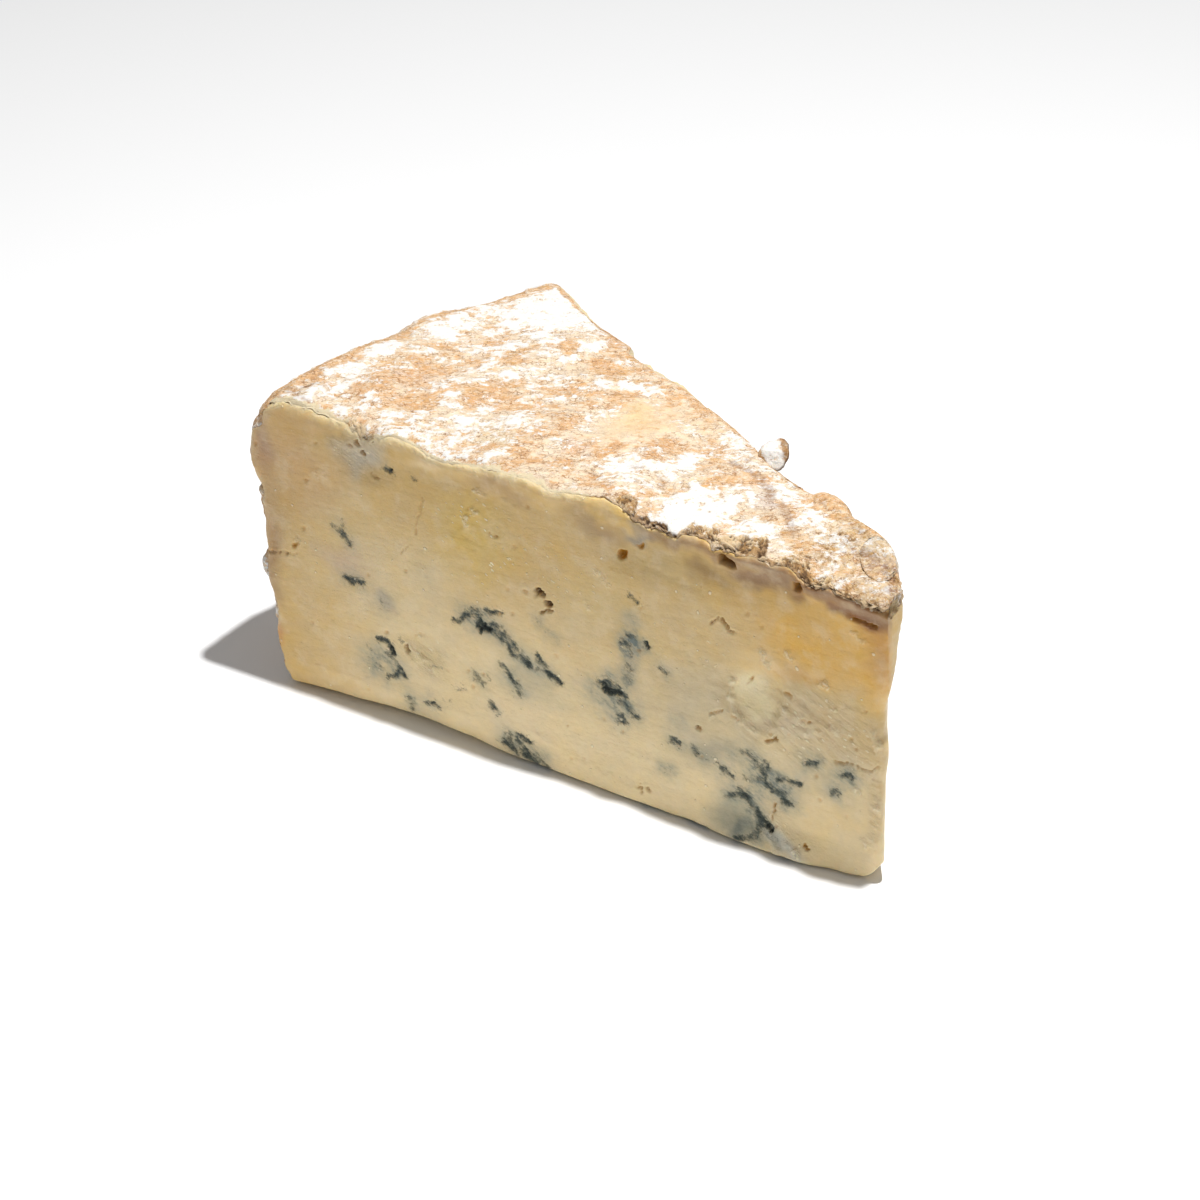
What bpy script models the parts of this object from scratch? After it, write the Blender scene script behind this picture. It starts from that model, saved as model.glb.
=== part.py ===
"""A wedge cut from a drum-shaped blue cheese, as one solid.

Units are metres, +Z is up. The wedge is first shaped in the drum's own frame, with the drum's axis at
X = Y = 0, the point of the wedge near that axis and the outer rim at -X. The front cut faces -Y and the
back cut faces +Y. At the end it is moved so that the origin is the middle of its base.
"""

import math

import bpy
import bmesh
from mathutils import Euler, Vector, noise

MM = 0.001

# Driving sizes
DRUM_RADIUS = 100.0 * MM
HEIGHT = 46.0 * MM
FRONT_ANGLE = math.radians(16.0)  # from the wedge's axis to the front cut, which meets the drum's axis
BACK_ANGLE = math.radians(11.4)  # from the wedge's axis to the back cut, which passes beside the drum's axis
BACK_OFFSET = 6.0 * MM  # where the back cut would cross the drum's axis plane
BLUNT_LENGTH = 10.0 * MM  # how far behind the point the back cut starts

# Rounding of the edges, as the half sizes of an ellipsoid
TOP_ROUNDING = Vector((2.2, 2.2, 1.7)) * MM
BASE_ROUNDING = Vector((2.2, 2.2, 0.9)) * MM

# How finely the block is divided along X, Y and Z, and how much closer the divisions are near the edges
DIVISIONS = (46, 19, 19)
CLOSER_AT_EDGES = (0.35, 0.5, 0.4)

# How far the rim stands out from the drum's radius, at heights above the base
RIM_PROFILE = [
    (0.0, -1.2 * MM),
    (3.0 * MM, -0.4 * MM),
    (9.0 * MM, 0.5 * MM),
    (18.0 * MM, 2.2 * MM),
    (21.5 * MM, 1.5 * MM),
    (25.0 * MM, 1.9 * MM),
    (31.0 * MM, 2.6 * MM),
    (35.0 * MM, 4.1 * MM),
    (39.5 * MM, 4.0 * MM),
    (43.0 * MM, 2.4 * MM),
    (46.0 * MM, 0.6 * MM),
]

# How far the point of the wedge leans out, at heights above the base
POINT_PROFILE = [
    (0.0, -1.3 * MM),
    (6.0 * MM, -1.0 * MM),
    (26.0 * MM, -0.9 * MM),
    (35.0 * MM, 0.2 * MM),
    (41.0 * MM, 1.2 * MM),
    (46.0 * MM, 1.1 * MM),
]

# Along the front's upper edge, by distance from the drum's axis: how far the rind sinks and stands out
RIND_EDGE = [
    (0.0, 2.0 * MM, 0.9 * MM),
    (12.0 * MM, 2.2 * MM, 1.8 * MM),
    (24.0 * MM, 1.6 * MM, 1.6 * MM),
    (34.0 * MM, 1.5 * MM, 0.6 * MM),
    (45.0 * MM, 0.2 * MM, 0.2 * MM),
    (54.0 * MM, 0.5 * MM, 0.8 * MM),
    (72.0 * MM, 0.9 * MM, 0.5 * MM),
    (86.0 * MM, 0.2 * MM, -0.2 * MM),
    (104.0 * MM, 0.6 * MM, 0.0),
]
SINK_REACH = 12.0 * MM
LIP_HEIGHT = 5.0 * MM

# Along the front's lower edge, by distance from the drum's axis: how far it is lifted and stands out
FOOT_EDGE = [
    (0.0, 0.4 * MM, -0.2 * MM),
    (7.0 * MM, 0.0, 0.8 * MM),
    (14.0 * MM, 0.0, 1.9 * MM),
    (22.0 * MM, 0.0, 1.6 * MM),
    (32.0 * MM, 0.0, 0.4 * MM),
    (58.0 * MM, 0.2 * MM, 0.0),
    (68.0 * MM, 1.4 * MM, -0.8 * MM),
    (76.0 * MM, 2.0 * MM, -1.2 * MM),
    (88.0 * MM, 1.1 * MM, -0.6 * MM),
    (104.0 * MM, 0.2 * MM, 0.0),
]
FOOT_REACH = 5.0 * MM

# Along the back's upper edge, by distance from the drum's axis: how far its crumbled rind is bitten in
BACK_BITE = [
    (0.0, 0.0),
    (16.0 * MM, 0.0),
    (29.0 * MM, 1.9 * MM),
    (41.0 * MM, 0.0),
    (58.0 * MM, 0.4 * MM),
    (71.0 * MM, 1.8 * MM),
    (80.0 * MM, 0.4 * MM),
    (104.0 * MM, 0.2 * MM),
]
BITE_REACH = 8.0 * MM

# Hollows in the front cut: distance from the drum's axis, height, half width, half height and depth
FRONT_HOLLOWS = [
    (21.0 * MM, 24.0 * MM, 7.0 * MM, 6.5 * MM, 1.0 * MM),
    (73.5 * MM, 13.0 * MM, 6.0 * MM, 5.0 * MM, 0.6 * MM),
    (83.0 * MM, 40.5 * MM, 6.0 * MM, 4.5 * MM, 0.7 * MM),
    (42.0 * MM, 39.0 * MM, 6.0 * MM, 4.5 * MM, 0.6 * MM),
    (58.0 * MM, 2.0 * MM, 7.0 * MM, 4.0 * MM, 0.5 * MM),
]

# Unevenness: the size of the swells and how far they stand out
RIND_SWELL = (7.0 * MM, 0.75 * MM)
CRUMBLED_SWELL = (3.6 * MM, 0.9 * MM)
CRUMBLED_LENGTH = 44.0 * MM  # how far from the drum's axis the rind's front edge is crumbled
RIM_SWELL = (9.0 * MM, 0.9 * MM)
CUT_SWELL = (20.0 * MM, 0.5 * MM)

# Lumps of rind on the top: the middle in mm in the drum's frame, half sizes in mm and turn in degrees
RIND_LUMPS = [
    ((-36.6, 12.1, 46.8), (1.7, 2.1, 3.0), (16, 18, 30)),  # the flake that stands on the back edge
    ((-31.8, 10.6, 44.8), (3.6, 2.0, 1.5), (0, -6, -12)),
    ((-22.0, 9.0, 45.0), (3.8, 2.1, 1.5), (0, 6, -14)),
    ((-92.5, -21.8, 45.5), (2.1, 3.2, 1.3), (0, 0, 20)),
    ((-8.2, 4.0, 44.9), (4.8, 2.3, 1.6), (0, 10, -36)),
]

PASTE_COLOUR = (0.80, 0.68, 0.42, 1.0)


def read_profile(profile, place):
    """The values of a profile's rows at a place, eased between neighbouring rows."""
    rows = [(row[0], Vector((*row[1:], 0.0, 0.0)[:2])) for row in profile]
    if place <= rows[0][0]:
        return rows[0][1]
    for (start, low), (end, high) in zip(rows, rows[1:]):
        if place <= end:
            share = (place - start) / (end - start)
            return low.lerp(high, share * share * (3.0 - 2.0 * share))
    return rows[-1][1]


def fade(distance, reach):
    """1 at no distance, falling smoothly to 0 at reach."""
    share = min(max(distance / reach, 0.0), 1.0)
    return 1.0 - share * share * (3.0 - 2.0 * share)


def swell(place, size_and_depth, seed):
    size, depth = size_and_depth
    return noise.noise(place / size + Vector((seed, 0.0, 0.0))) * depth


def cut_ends():
    """Where the front cut and the back cut start at the point of the wedge and end at the rim."""
    front_rim = Vector((-math.cos(FRONT_ANGLE), -math.sin(FRONT_ANGLE))) * DRUM_RADIUS
    back_point = Vector((-BLUNT_LENGTH, BACK_OFFSET + BLUNT_LENGTH * math.tan(BACK_ANGLE)))
    back_way = Vector((-math.cos(BACK_ANGLE), math.sin(BACK_ANGLE)))
    along = back_point.dot(back_way)
    beside = back_point - back_way * along
    reach = math.sqrt(DRUM_RADIUS**2 - beside.length_squared) - along
    return Vector((0.0, 0.0)), front_rim, back_point, back_point + back_way * reach


def even_block():
    """A cube from -1 to 1 with its sides divided into an even grid."""
    shape = bmesh.new()
    bmesh.ops.create_cube(shape, size=2.0)
    for axis, divisions in enumerate(DIVISIONS):
        edges = [e for e in shape.edges if abs(e.verts[0].co[axis] - e.verts[1].co[axis]) > 1.0]
        bmesh.ops.subdivide_edges(shape, edges=edges, cuts=divisions - 1, use_grid_fill=True)
    return shape


def closer(value, amount):
    """Moves a coordinate from -1 to 1 so that evenly spaced ones come closer at the ends."""
    return value + amount * math.sin(math.pi * value) / math.pi


def rounded(place, half):
    """A point of a box's surface, moved in so that the box's edges are rounded."""
    radii = TOP_ROUNDING if place.z > 0.0 else BASE_ROUNDING
    inner = Vector([min(max(p, r - h), h - r) for p, h, r in zip(place, half, radii)])
    away = Vector([(p - i) / r for p, i, r in zip(place, inner, radii)]).normalized()
    return inner + Vector([a * r for a, r in zip(away, radii)])


def wedge_place(grid_point):
    """A point of the even block, placed on the plain wedge."""
    front_point, front_rim, back_point, back_rim = cut_ends()
    x, y, z = [closer(value, amount) for value, amount in zip(grid_point, CLOSER_AT_EDGES)]
    to_rim = (1.0 - x) / 2.0
    width = (back_point.lerp(back_rim, to_rim) - front_point.lerp(front_rim, to_rim)).length
    half = Vector((DRUM_RADIUS / 2.0, width / 2.0, HEIGHT / 2.0))
    place = rounded(Vector((x * half.x, y * half.y, z * half.z)), half)

    to_rim = 0.5 - place.x / DRUM_RADIUS
    to_back = 0.5 + place.y / width
    front = front_point.lerp(front_rim, to_rim)
    plan = front.lerp(back_point.lerp(back_rim, to_rim), to_back)
    chord = front_rim.lerp(back_rim, to_back)
    plan *= 1.0 + (DRUM_RADIUS / chord.length - 1.0) * to_rim**2
    return Vector((plan.x, plan.y, place.z + half.z))


def rim_shift(place):
    """The rim leans in at its foot, bulges under the top edge and is lumpy along its length."""
    radius = math.hypot(place.x, place.y)
    outward = Vector((place.x, place.y, 0.0)) / max(radius, MM)
    inside = DRUM_RADIUS - radius
    bulge = read_profile(RIM_PROFILE, place.z).x * fade(inside, 20.0 * MM)
    return outward * (bulge + swell(place, RIM_SWELL, 7.7) * fade(inside, 4.0 * MM))


def point_shift(place):
    """The point of the wedge leans out under the rind and is worn back at its foot."""
    return Vector((read_profile(POINT_PROFILE, place.z).x * fade(-place.x, 14.0 * MM), 0.0, 0.0))


def rind_shift(place, along, from_front):
    """The top swells, and sinks towards its front edge."""
    sink = read_profile(RIND_EDGE, along).x * fade(from_front, SINK_REACH)
    upper = fade(HEIGHT - place.z, 9.0 * MM)
    return Vector((0.0, 0.0, (swell(place, RIND_SWELL, 3.1) - sink) * upper))


def front_shift(place, along, from_front, outward):
    """The front cut is hollowed here and there, and the rind above it and the foot below it stand out."""
    hollow = 0.0
    for centre, height, half_width, half_height, depth in FRONT_HOLLOWS:
        distance = math.hypot((along - centre) / half_width, (place.z - height) / half_height)
        hollow += depth * fade(distance, 1.0)
    crumbs = swell(place, CRUMBLED_SWELL, 9.1) * fade(along - CRUMBLED_LENGTH, 6.0 * MM)
    lip = (read_profile(RIND_EDGE, along).y + crumbs) * fade(HEIGHT - place.z, LIP_HEIGHT)
    lift, foot = read_profile(FOOT_EDGE, along) * fade(place.z, FOOT_REACH)
    near = fade(from_front, 4.0 * MM)
    shift = outward * (lip + foot - hollow + swell(place, CUT_SWELL, 0.0)) * near
    shift.z += lift * near
    return shift


def back_shift(place, along, from_back, outward):
    """The back cut is uneven, and its upper edge is crumbled."""
    bite = read_profile(BACK_BITE, along).x * fade(HEIGHT - place.z, BITE_REACH)
    return outward * (swell(place, CUT_SWELL, 5.3) - bite) * fade(from_back, 4.5 * MM)


def shape_wedge(shape):
    """Moves the block's points onto the wedge, and then into its own uneven form."""
    front_outward = Vector((math.sin(FRONT_ANGLE), -math.cos(FRONT_ANGLE), 0.0))
    front_along = Vector((-math.cos(FRONT_ANGLE), -math.sin(FRONT_ANGLE), 0.0))
    back_outward = Vector((math.sin(BACK_ANGLE), math.cos(BACK_ANGLE), 0.0))
    for vertex in shape.verts:
        place = wedge_place(vertex.co)
        along = max(place.dot(front_along), 0.0)
        from_front = -place.dot(front_outward)
        from_back = BACK_OFFSET * math.cos(BACK_ANGLE) - place.dot(back_outward)
        moved = place + rim_shift(place) + point_shift(place) + rind_shift(place, along, from_front)
        moved += front_shift(place, along, from_front, front_outward)
        moved += back_shift(place, along, from_back, back_outward)
        vertex.co = moved


def uneven_ball(centre, radii, turn, seed):
    """A small lump of rind."""
    shape = bmesh.new()
    bmesh.ops.create_icosphere(shape, subdivisions=2, radius=1.0)
    for vertex in shape.verts:
        uneven = 1.0 + 0.16 * noise.noise(vertex.co * 1.7 + Vector((seed, 0.0, 0.0)))
        vertex.co = Vector([a * b * MM for a, b in zip(vertex.co, radii)]) * uneven
        vertex.co.rotate(Euler([math.radians(angle) for angle in turn]))
        vertex.co += Vector(centre) * MM
    return shape


def add_object(name, shape, collection):
    mesh = bpy.data.meshes.new(name)
    shape.to_mesh(mesh)
    shape.free()
    mesh.shade_smooth()
    obj = bpy.data.objects.new(name, mesh)
    collection.objects.link(obj)
    return obj


def add_lumps(wedge, helpers):
    """Joins the lumps of rind to the wedge, each by a Boolean union."""
    for number, (centre, radii, turn) in enumerate(RIND_LUMPS, 1):
        lump = add_object(f"lump_{number}", uneven_ball(centre, radii, turn, number), helpers)
        lump.hide_render = True
        lump.display_type = "WIRE"
        join = wedge.modifiers.new(f"join_{number}", "BOOLEAN")
        join.operation = "UNION"
        join.object = lump


def centre_on_base(wedge, others):
    """Moves the wedge, and the lumps joined to it, so that the origin is the middle of its base."""
    bpy.context.view_layer.update()
    graph = bpy.context.evaluated_depsgraph_get()
    places = [vertex.co for vertex in wedge.evaluated_get(graph).data.vertices]
    middle = Vector([(min(p[axis] for p in places) + max(p[axis] for p in places)) / 2.0 for axis in range(3)])
    middle.z = min(p.z for p in places)
    for obj in [wedge, *others]:
        for vertex in obj.data.vertices:
            vertex.co -= middle
    print("drum axis from the origin, mm:", [round(-value / MM, 3) for value in middle])


def cheese_material():
    material = bpy.data.materials.new("blue cheese")
    material.use_nodes = True
    shader = material.node_tree.nodes["Principled BSDF"]
    shader.inputs["Base Color"].default_value = PASTE_COLOUR
    shader.inputs["Roughness"].default_value = 0.5
    shader.inputs["Metallic"].default_value = 0.0
    return material


def main():
    for obj in list(bpy.data.objects):
        bpy.data.objects.remove(obj)
    parts = bpy.data.collections.new("blue_cheese_wedge")
    helpers = bpy.data.collections.new("helpers")
    for collection in (parts, helpers):
        bpy.context.scene.collection.children.link(collection)

    shape = even_block()
    shape_wedge(shape)
    wedge = add_object("cheese_wedge", shape, parts)
    wedge.data.materials.append(cheese_material())
    add_lumps(wedge, helpers)
    centre_on_base(wedge, list(helpers.objects))


main()
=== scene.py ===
import math

import bpy
import bmesh
import numpy as np
from mathutils import Euler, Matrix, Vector, noise


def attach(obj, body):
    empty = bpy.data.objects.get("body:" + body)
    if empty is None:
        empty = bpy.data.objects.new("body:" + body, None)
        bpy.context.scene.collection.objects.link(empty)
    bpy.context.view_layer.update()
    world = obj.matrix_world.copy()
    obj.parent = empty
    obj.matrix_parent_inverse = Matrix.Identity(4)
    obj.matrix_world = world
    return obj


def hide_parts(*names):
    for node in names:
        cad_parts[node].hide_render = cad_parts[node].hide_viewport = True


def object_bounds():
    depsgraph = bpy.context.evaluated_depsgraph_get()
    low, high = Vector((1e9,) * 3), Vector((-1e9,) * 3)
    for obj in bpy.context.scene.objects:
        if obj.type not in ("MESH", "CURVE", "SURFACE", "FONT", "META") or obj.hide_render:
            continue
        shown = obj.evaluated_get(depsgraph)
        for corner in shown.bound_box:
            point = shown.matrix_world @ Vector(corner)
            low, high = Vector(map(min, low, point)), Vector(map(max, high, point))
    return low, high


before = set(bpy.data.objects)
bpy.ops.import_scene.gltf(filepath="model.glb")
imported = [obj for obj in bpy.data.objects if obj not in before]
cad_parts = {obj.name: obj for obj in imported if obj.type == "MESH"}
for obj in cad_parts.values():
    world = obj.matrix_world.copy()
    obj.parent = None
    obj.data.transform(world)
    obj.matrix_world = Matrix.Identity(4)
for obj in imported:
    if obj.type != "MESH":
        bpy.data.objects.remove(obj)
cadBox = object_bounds()
print("frame loaded")

# All shapes below are worked out in millimetres, in the frame of the drum that the wedge was cut from:
# its axis stands at x = y = 0, the point of the wedge is near that axis and the rim is at -x.
# "along" is the distance from the axis measured on the front cut.
metresPerMm = 0.001
drumAxis = np.array([51.985, 0.968, 0.0])  # where the drum's axis stands in the part's frame


# noise over arrays of points
def hashed(cells, seed):
    x, y, z = (cells[:, axis].astype(np.uint32) for axis in range(3))
    h = (x * np.uint32(2654435761)) ^ (y * np.uint32(2246822519)) ^ (z * np.uint32(3266489917))
    h = h ^ np.uint32((seed * 668265263 + 374761393) % 4294967296)
    h = (h ^ (h >> np.uint32(15))) * np.uint32(739982445)
    h = (h ^ (h >> np.uint32(12))) * np.uint32(695872825)
    return (h ^ (h >> np.uint32(15))).astype(np.float64) / 4294967295.0


def softNoise(points, size, seed):
    # smooth noise from -1 to 1 with swells of about this size
    scaled = points / size
    base = np.floor(scaled).astype(np.int64)
    share = scaled - base
    share = share ** 3 * (share * (share * 6 - 15) + 10)
    total = np.zeros(len(points))
    for corner in range(8):
        offset = np.array([corner & 1, corner >> 1 & 1, corner >> 2 & 1])
        weight = np.prod(np.where(offset, share, 1 - share), axis=1)
        total += weight * (hashed(base + offset, seed) * 2 - 1)
    return total


def layeredNoise(points, size, seed, layers=4, gain=0.5):
    total = np.zeros(len(points))
    strength = 1.0
    for layer in range(layers):
        total += strength * softNoise(points, size / 2.03 ** layer, seed + layer)
        strength *= gain
    return total


def lumpNoise(points, size, seed):
    # distance to the nearest and the next of scattered centres, in units of size, and each lump's tone
    scaled = points / size
    base = np.floor(scaled).astype(np.int64)
    nearest = np.full(len(points), 9.0)
    second = np.full(len(points), 9.0)
    lumpTone = np.zeros(len(points))
    for step in np.ndindex(3, 3, 3):
        cell = base + np.array(step) - 1
        centre = cell + np.stack([hashed(cell, seed + k) for k in (11, 23, 37)], axis=1)
        distance = np.linalg.norm(scaled - centre, axis=1)
        closer = distance < nearest
        second = np.where(closer, nearest, np.minimum(second, distance))
        nearest = np.where(closer, distance, nearest)
        lumpTone = np.where(closer, hashed(cell, seed + 53), lumpTone)
    return nearest, second, lumpTone


def easeIn(value, low, high):
    # 0 below low, 1 above high, smooth between
    share = np.clip((value - low) / (high - low), 0.0, 1.0)
    return share * share * (3 - 2 * share)


def fade(distance, reach):
    return 1.0 - easeIn(distance, 0.0, reach)


def spot(across, up, centre, halfSizes, reach=1.0):
    # 1 in the middle of an ellipse, 0 outside it
    return fade(np.hypot((across - centre[0]) / halfSizes[0], (up - centre[1]) / halfSizes[1]), reach)


def noiseStack(points, size, seeds, layers=4, gain=0.5):
    return np.stack([layeredNoise(points, size, seed, layers, gain) for seed in seeds], axis=1)


def blended(tint, colour, share):
    return tint * (1 - share[:, None]) + np.array(colour) * share[:, None]


def readProfile(rows, place, column=1):
    rows = np.array(rows, float)
    places, values = rows[:, 0], rows[:, column]
    index = np.clip(np.searchsorted(places, place) - 1, 0, len(places) - 2)
    share = np.clip((place - places[index]) / (places[index + 1] - places[index]), 0, 1)
    share = share * share * (3 - 2 * share)
    return values[index] * (1 - share) + values[index + 1] * share


# the wedge's own form, the same as the solid's
wedge = {
    "drumRadius": 100.0,
    "height": 46.0,
    "frontAngle": math.radians(16.0),
    "backAngle": math.radians(11.4),
    "backOffset": 6.0,
    "bluntLength": 10.0,
    "topRounding": (2.2, 2.2, 1.7),
    "baseRounding": (2.2, 2.2, 0.9),
    "rimProfile": [  # height, how far the rim stands out
        (0, -1.2), (3, -0.4), (9, 0.5), (18, 2.2), (21.5, 1.5), (25, 1.9),
        (31, 2.6), (35, 4.1), (39.5, 4.0), (43, 2.4), (46, 0.6),
    ],
    "pointProfile": [  # height, how far the point leans out
        (0, -1.3), (6, -1.0), (26, -0.9), (35, 0.2), (41, 1.2), (46, 1.1),
    ],
    "pointNotch": [  # height, how far the point's edge steps back
        (0, 0), (12, 0.2), (16, 0.5), (20, 0.1), (21.4, 0.2), (22.6, 0.9), (26, 1.0), (30, 0.6), (37, 0.4),
        (40, 0),
    ],
    "rindEdge": [  # along, sink and overhang of the front's upper edge
        (0, 2.0, 0.9), (12, 1.8, 1.4), (17, 1.1, 1.0), (20, 0.9, 0.9), (24, 1.4, 1.3), (30, 1.0, 0.7),
        (34, 1.5, 0.6), (45, 0.2, 0.2),
        (54, 0.5, 0.8), (72, 0.9, 0.5), (86, 0.2, -0.2), (104, 0.6, 0.0),
    ],
    "footEdge": [  # along, lift and overhang of the front's lower edge
        (0, 0.4, -0.2), (7, 0, 0.8), (14, 0, 1.9), (22, 0, 1.6), (32, 0, 0.4),
        (58, 0.2, 0), (68, 0.8, -0.8), (76, 1.1, -1.2), (88, 0.8, -0.6), (104, 0.2, 0),
    ],
    "backBite": [  # along, how far the back's upper edge is bitten in
        (0, 0), (16, 0), (29, 1.9), (41, 0), (58, 0.4), (71, 1.8), (80, 0.4), (104, 0.2),
    ],
    "backPush": [  # along, how far the back's upper edge stands out
        (0, 0), (57, 0), (62, -0.2), (64.6, 0.1), (66.6, 1.8), (69.5, 1.9), (73, 1.3), (78, 1.2), (83, 1.3),
        (104, 1.5),
    ],
    "frontHollows": [  # along, height, half width, half height, depth
        (21, 24, 7, 6.5, 1.0), (73.5, 13, 6, 5, 0.6), (83, 40.5, 6, 4.5, 0.7),
        (42, 39, 6, 4.5, 0.6), (58, 2, 7, 4, 0.5),
    ],
}
frontOutward = np.array([math.sin(wedge["frontAngle"]), -math.cos(wedge["frontAngle"]), 0.0])
frontAlong = np.array([-math.cos(wedge["frontAngle"]), -math.sin(wedge["frontAngle"]), 0.0])
backOutward = np.array([math.sin(wedge["backAngle"]), math.cos(wedge["backAngle"]), 0.0])
backAlong = np.array([-math.cos(wedge["backAngle"]), math.sin(wedge["backAngle"]), 0.0])


def cutEnds():
    radius = wedge["drumRadius"]
    frontRim = frontAlong[:2] * radius
    backPoint = np.array(
        [-wedge["bluntLength"], wedge["backOffset"] + wedge["bluntLength"] * math.tan(wedge["backAngle"])]
    )
    way = backAlong[:2]
    along = backPoint @ way
    beside = backPoint - way * along
    reach = math.sqrt(radius ** 2 - beside @ beside) - along
    return np.zeros(2), frontRim, backPoint, backPoint + way * reach


frontPoint, frontRim, backPoint, backRim = cutEnds()


def cutDistances(place):
    # how far in from the front cut and from the back cut
    fromBack = wedge["backOffset"] * math.cos(wedge["backAngle"]) - place @ backOutward
    return -(place @ frontOutward), fromBack


def wedgeWidth(toRim):
    toRim = np.asarray(toRim)[:, None]
    across = backPoint + (backRim - backPoint) * toRim - frontPoint - (frontRim - frontPoint) * toRim
    return np.linalg.norm(across, axis=1)


def plainWedge(x, y, z):
    # x runs from -50 at the rim to 50 at the point, y across from the front and z up from the middle
    length, height = wedge["drumRadius"], wedge["height"]
    width = wedgeWidth(0.5 - x / length)
    place = np.stack([x, y, z], axis=1)
    half = np.stack([np.full(len(x), length / 2), width / 2, np.full(len(x), height / 2)], axis=1)
    radii = np.where(z[:, None] > 0, wedge["topRounding"], wedge["baseRounding"])
    inner = np.clip(place, radii - half, half - radii)
    away = (place - inner) / radii
    away /= np.maximum(np.linalg.norm(away, axis=1), 1e-9)[:, None]
    place = inner + away * radii

    toRim = 0.5 - place[:, 0] / length
    toBack = 0.5 + place[:, 1] / width
    front = frontPoint + (frontRim - frontPoint) * toRim[:, None]
    back = backPoint + (backRim - backPoint) * toRim[:, None]
    plan = front + (back - front) * toBack[:, None]
    chord = np.linalg.norm(frontRim + (backRim - frontRim) * toBack[:, None], axis=1)
    plan *= (1.0 + (length / chord - 1.0) * toRim ** 2)[:, None]
    return np.stack([plan[:, 0], plan[:, 1], place[:, 2] + height / 2], axis=1)


def swell(points, size, depth, seed):
    places = points / size
    return depth * np.array([noise.noise((x + seed, y, z)) for x, y, z in places])


def unevenWedge(place):
    height, radius = wedge["height"], wedge["drumRadius"]
    along = np.maximum(place @ frontAlong, 0.0)
    fromFront, fromBack = cutDistances(place)
    x, z = place[:, 0], place[:, 2]
    planRadius = np.hypot(x, place[:, 1])
    outward = np.stack([x, place[:, 1], 0 * x], axis=1) / np.maximum(planRadius, 1.0)[:, None]
    inside = radius - planRadius
    rim = readProfile(wedge["rimProfile"], z) * fade(inside, 20.0)
    rim += swell(place, 9.0, 0.9, 7.7) * fade(inside, 4.0)
    moved = place + outward * rim[:, None]
    moved[:, 0] += readProfile(wedge["pointProfile"], z) * fade(-x, 14.0)
    moved[:, 0] -= readProfile(wedge["pointNotch"], z) * fade(-x, 5.0)
    sink = readProfile(wedge["rindEdge"], along, 1) * fade(fromFront, 12.0)
    moved[:, 2] += (swell(place, 7.0, 0.75, 3.1) - sink) * fade(height - z, 9.0)

    hollow = np.zeros(len(x))
    for centre, level, halfWidth, halfHeight, depth in wedge["frontHollows"]:
        hollow += depth * fade(np.hypot((along - centre) / halfWidth, (z - level) / halfHeight), 1.0)
    crumbs = swell(place, 3.6, 0.9, 9.1) * fade(along - 44.0, 6.0)
    lip = (readProfile(wedge["rindEdge"], along, 2) + crumbs) * fade(height - z, 5.0)
    foot = readProfile(wedge["footEdge"], along, 2) * fade(z, 5.0)
    lift = readProfile(wedge["footEdge"], along, 1) * fade(z, 5.0)
    nearFront = fade(fromFront, 4.0)
    front = (lip + foot - hollow + swell(place, 20.0, 0.5, 0.0)) * nearFront
    moved += frontOutward * front[:, None]
    moved[:, 2] += lift * nearFront
    bite = readProfile(wedge["backBite"], along) * fade(height - z, 8.0)
    bite -= readProfile(wedge["backPush"], along) * fade(height - z, 16.0)
    back = (swell(place, 20.0, 0.5, 5.3) - bite) * fade(fromBack, 4.5)
    return moved + backOutward * back[:, None]


def outwardNormals(points, faces):
    corners = points[faces]
    last = corners[:, 3] - corners[:, 1] if faces.shape[1] == 4 else corners[:, 1] - corners[:, 0]
    first = corners[:, 2] - corners[:, 0]
    faceNormals = np.cross(first, last) if faces.shape[1] == 4 else np.cross(last, first)
    normals = np.zeros_like(points)
    for k in range(faces.shape[1]):
        for axis in range(3):
            normals[:, axis] += np.bincount(faces[:, k], faceNormals[:, axis], len(points))
    return normals / np.maximum(np.linalg.norm(normals, axis=1), 1e-12)[:, None]


def pathDistance(across, up, path):
    reach = np.full(len(across), 99.0)
    for (x1, y1), (x2, y2) in zip(path, path[1:]):
        lengthSquared = max((x2 - x1) ** 2 + (y2 - y1) ** 2, 1e-9)
        share = np.clip(((across - x1) * (x2 - x1) + (up - y1) * (y2 - y1)) / lengthSquared, 0, 1)
        reach = np.minimum(reach, np.hypot(across - x1 - share * (x2 - x1), up - y1 - share * (y2 - y1)))
    return reach


def outlineReach(across, up, corners):
    # distance to an outline with corners, negative inside it
    inside = np.zeros(len(across), bool)
    for (x1, y1), (x2, y2) in zip(corners, corners[1:] + corners[:1]):
        crosses = (y1 > up) != (y2 > up)
        inside ^= crosses & (across < (x2 - x1) * (up - y1) / ((y2 - y1) or 1e-9) + x1)
    reach = pathDistance(across, up, corners + corners[:1])
    return np.where(inside, -reach, reach)


def strokeMask(across, up, strokes, softness, wider=0.0):
    # strokes are (path, half width, strength); the mask fades over softness on each side of a stroke's edge
    mask = np.zeros(len(across))
    for path, halfWidth, strength in strokes:
        reach = pathDistance(across, up, path) - halfWidth * 1.15 - wider
        mask = np.maximum(mask, strength * (1 - easeIn(reach, -softness, softness)))
    return mask


def hazeMask(across, up, hazes):
    # hazes are (path, half width, reach, strength)
    clear = np.ones(len(across))
    for path, halfWidth, reach, strength in hazes:
        distance = np.maximum(pathDistance(across, up, path) - halfWidth, 0) / (1.45 * reach)
        clear *= 1 - 0.97 * strength * np.exp(-distance ** 1.6)
    return 1 - clear


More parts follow.
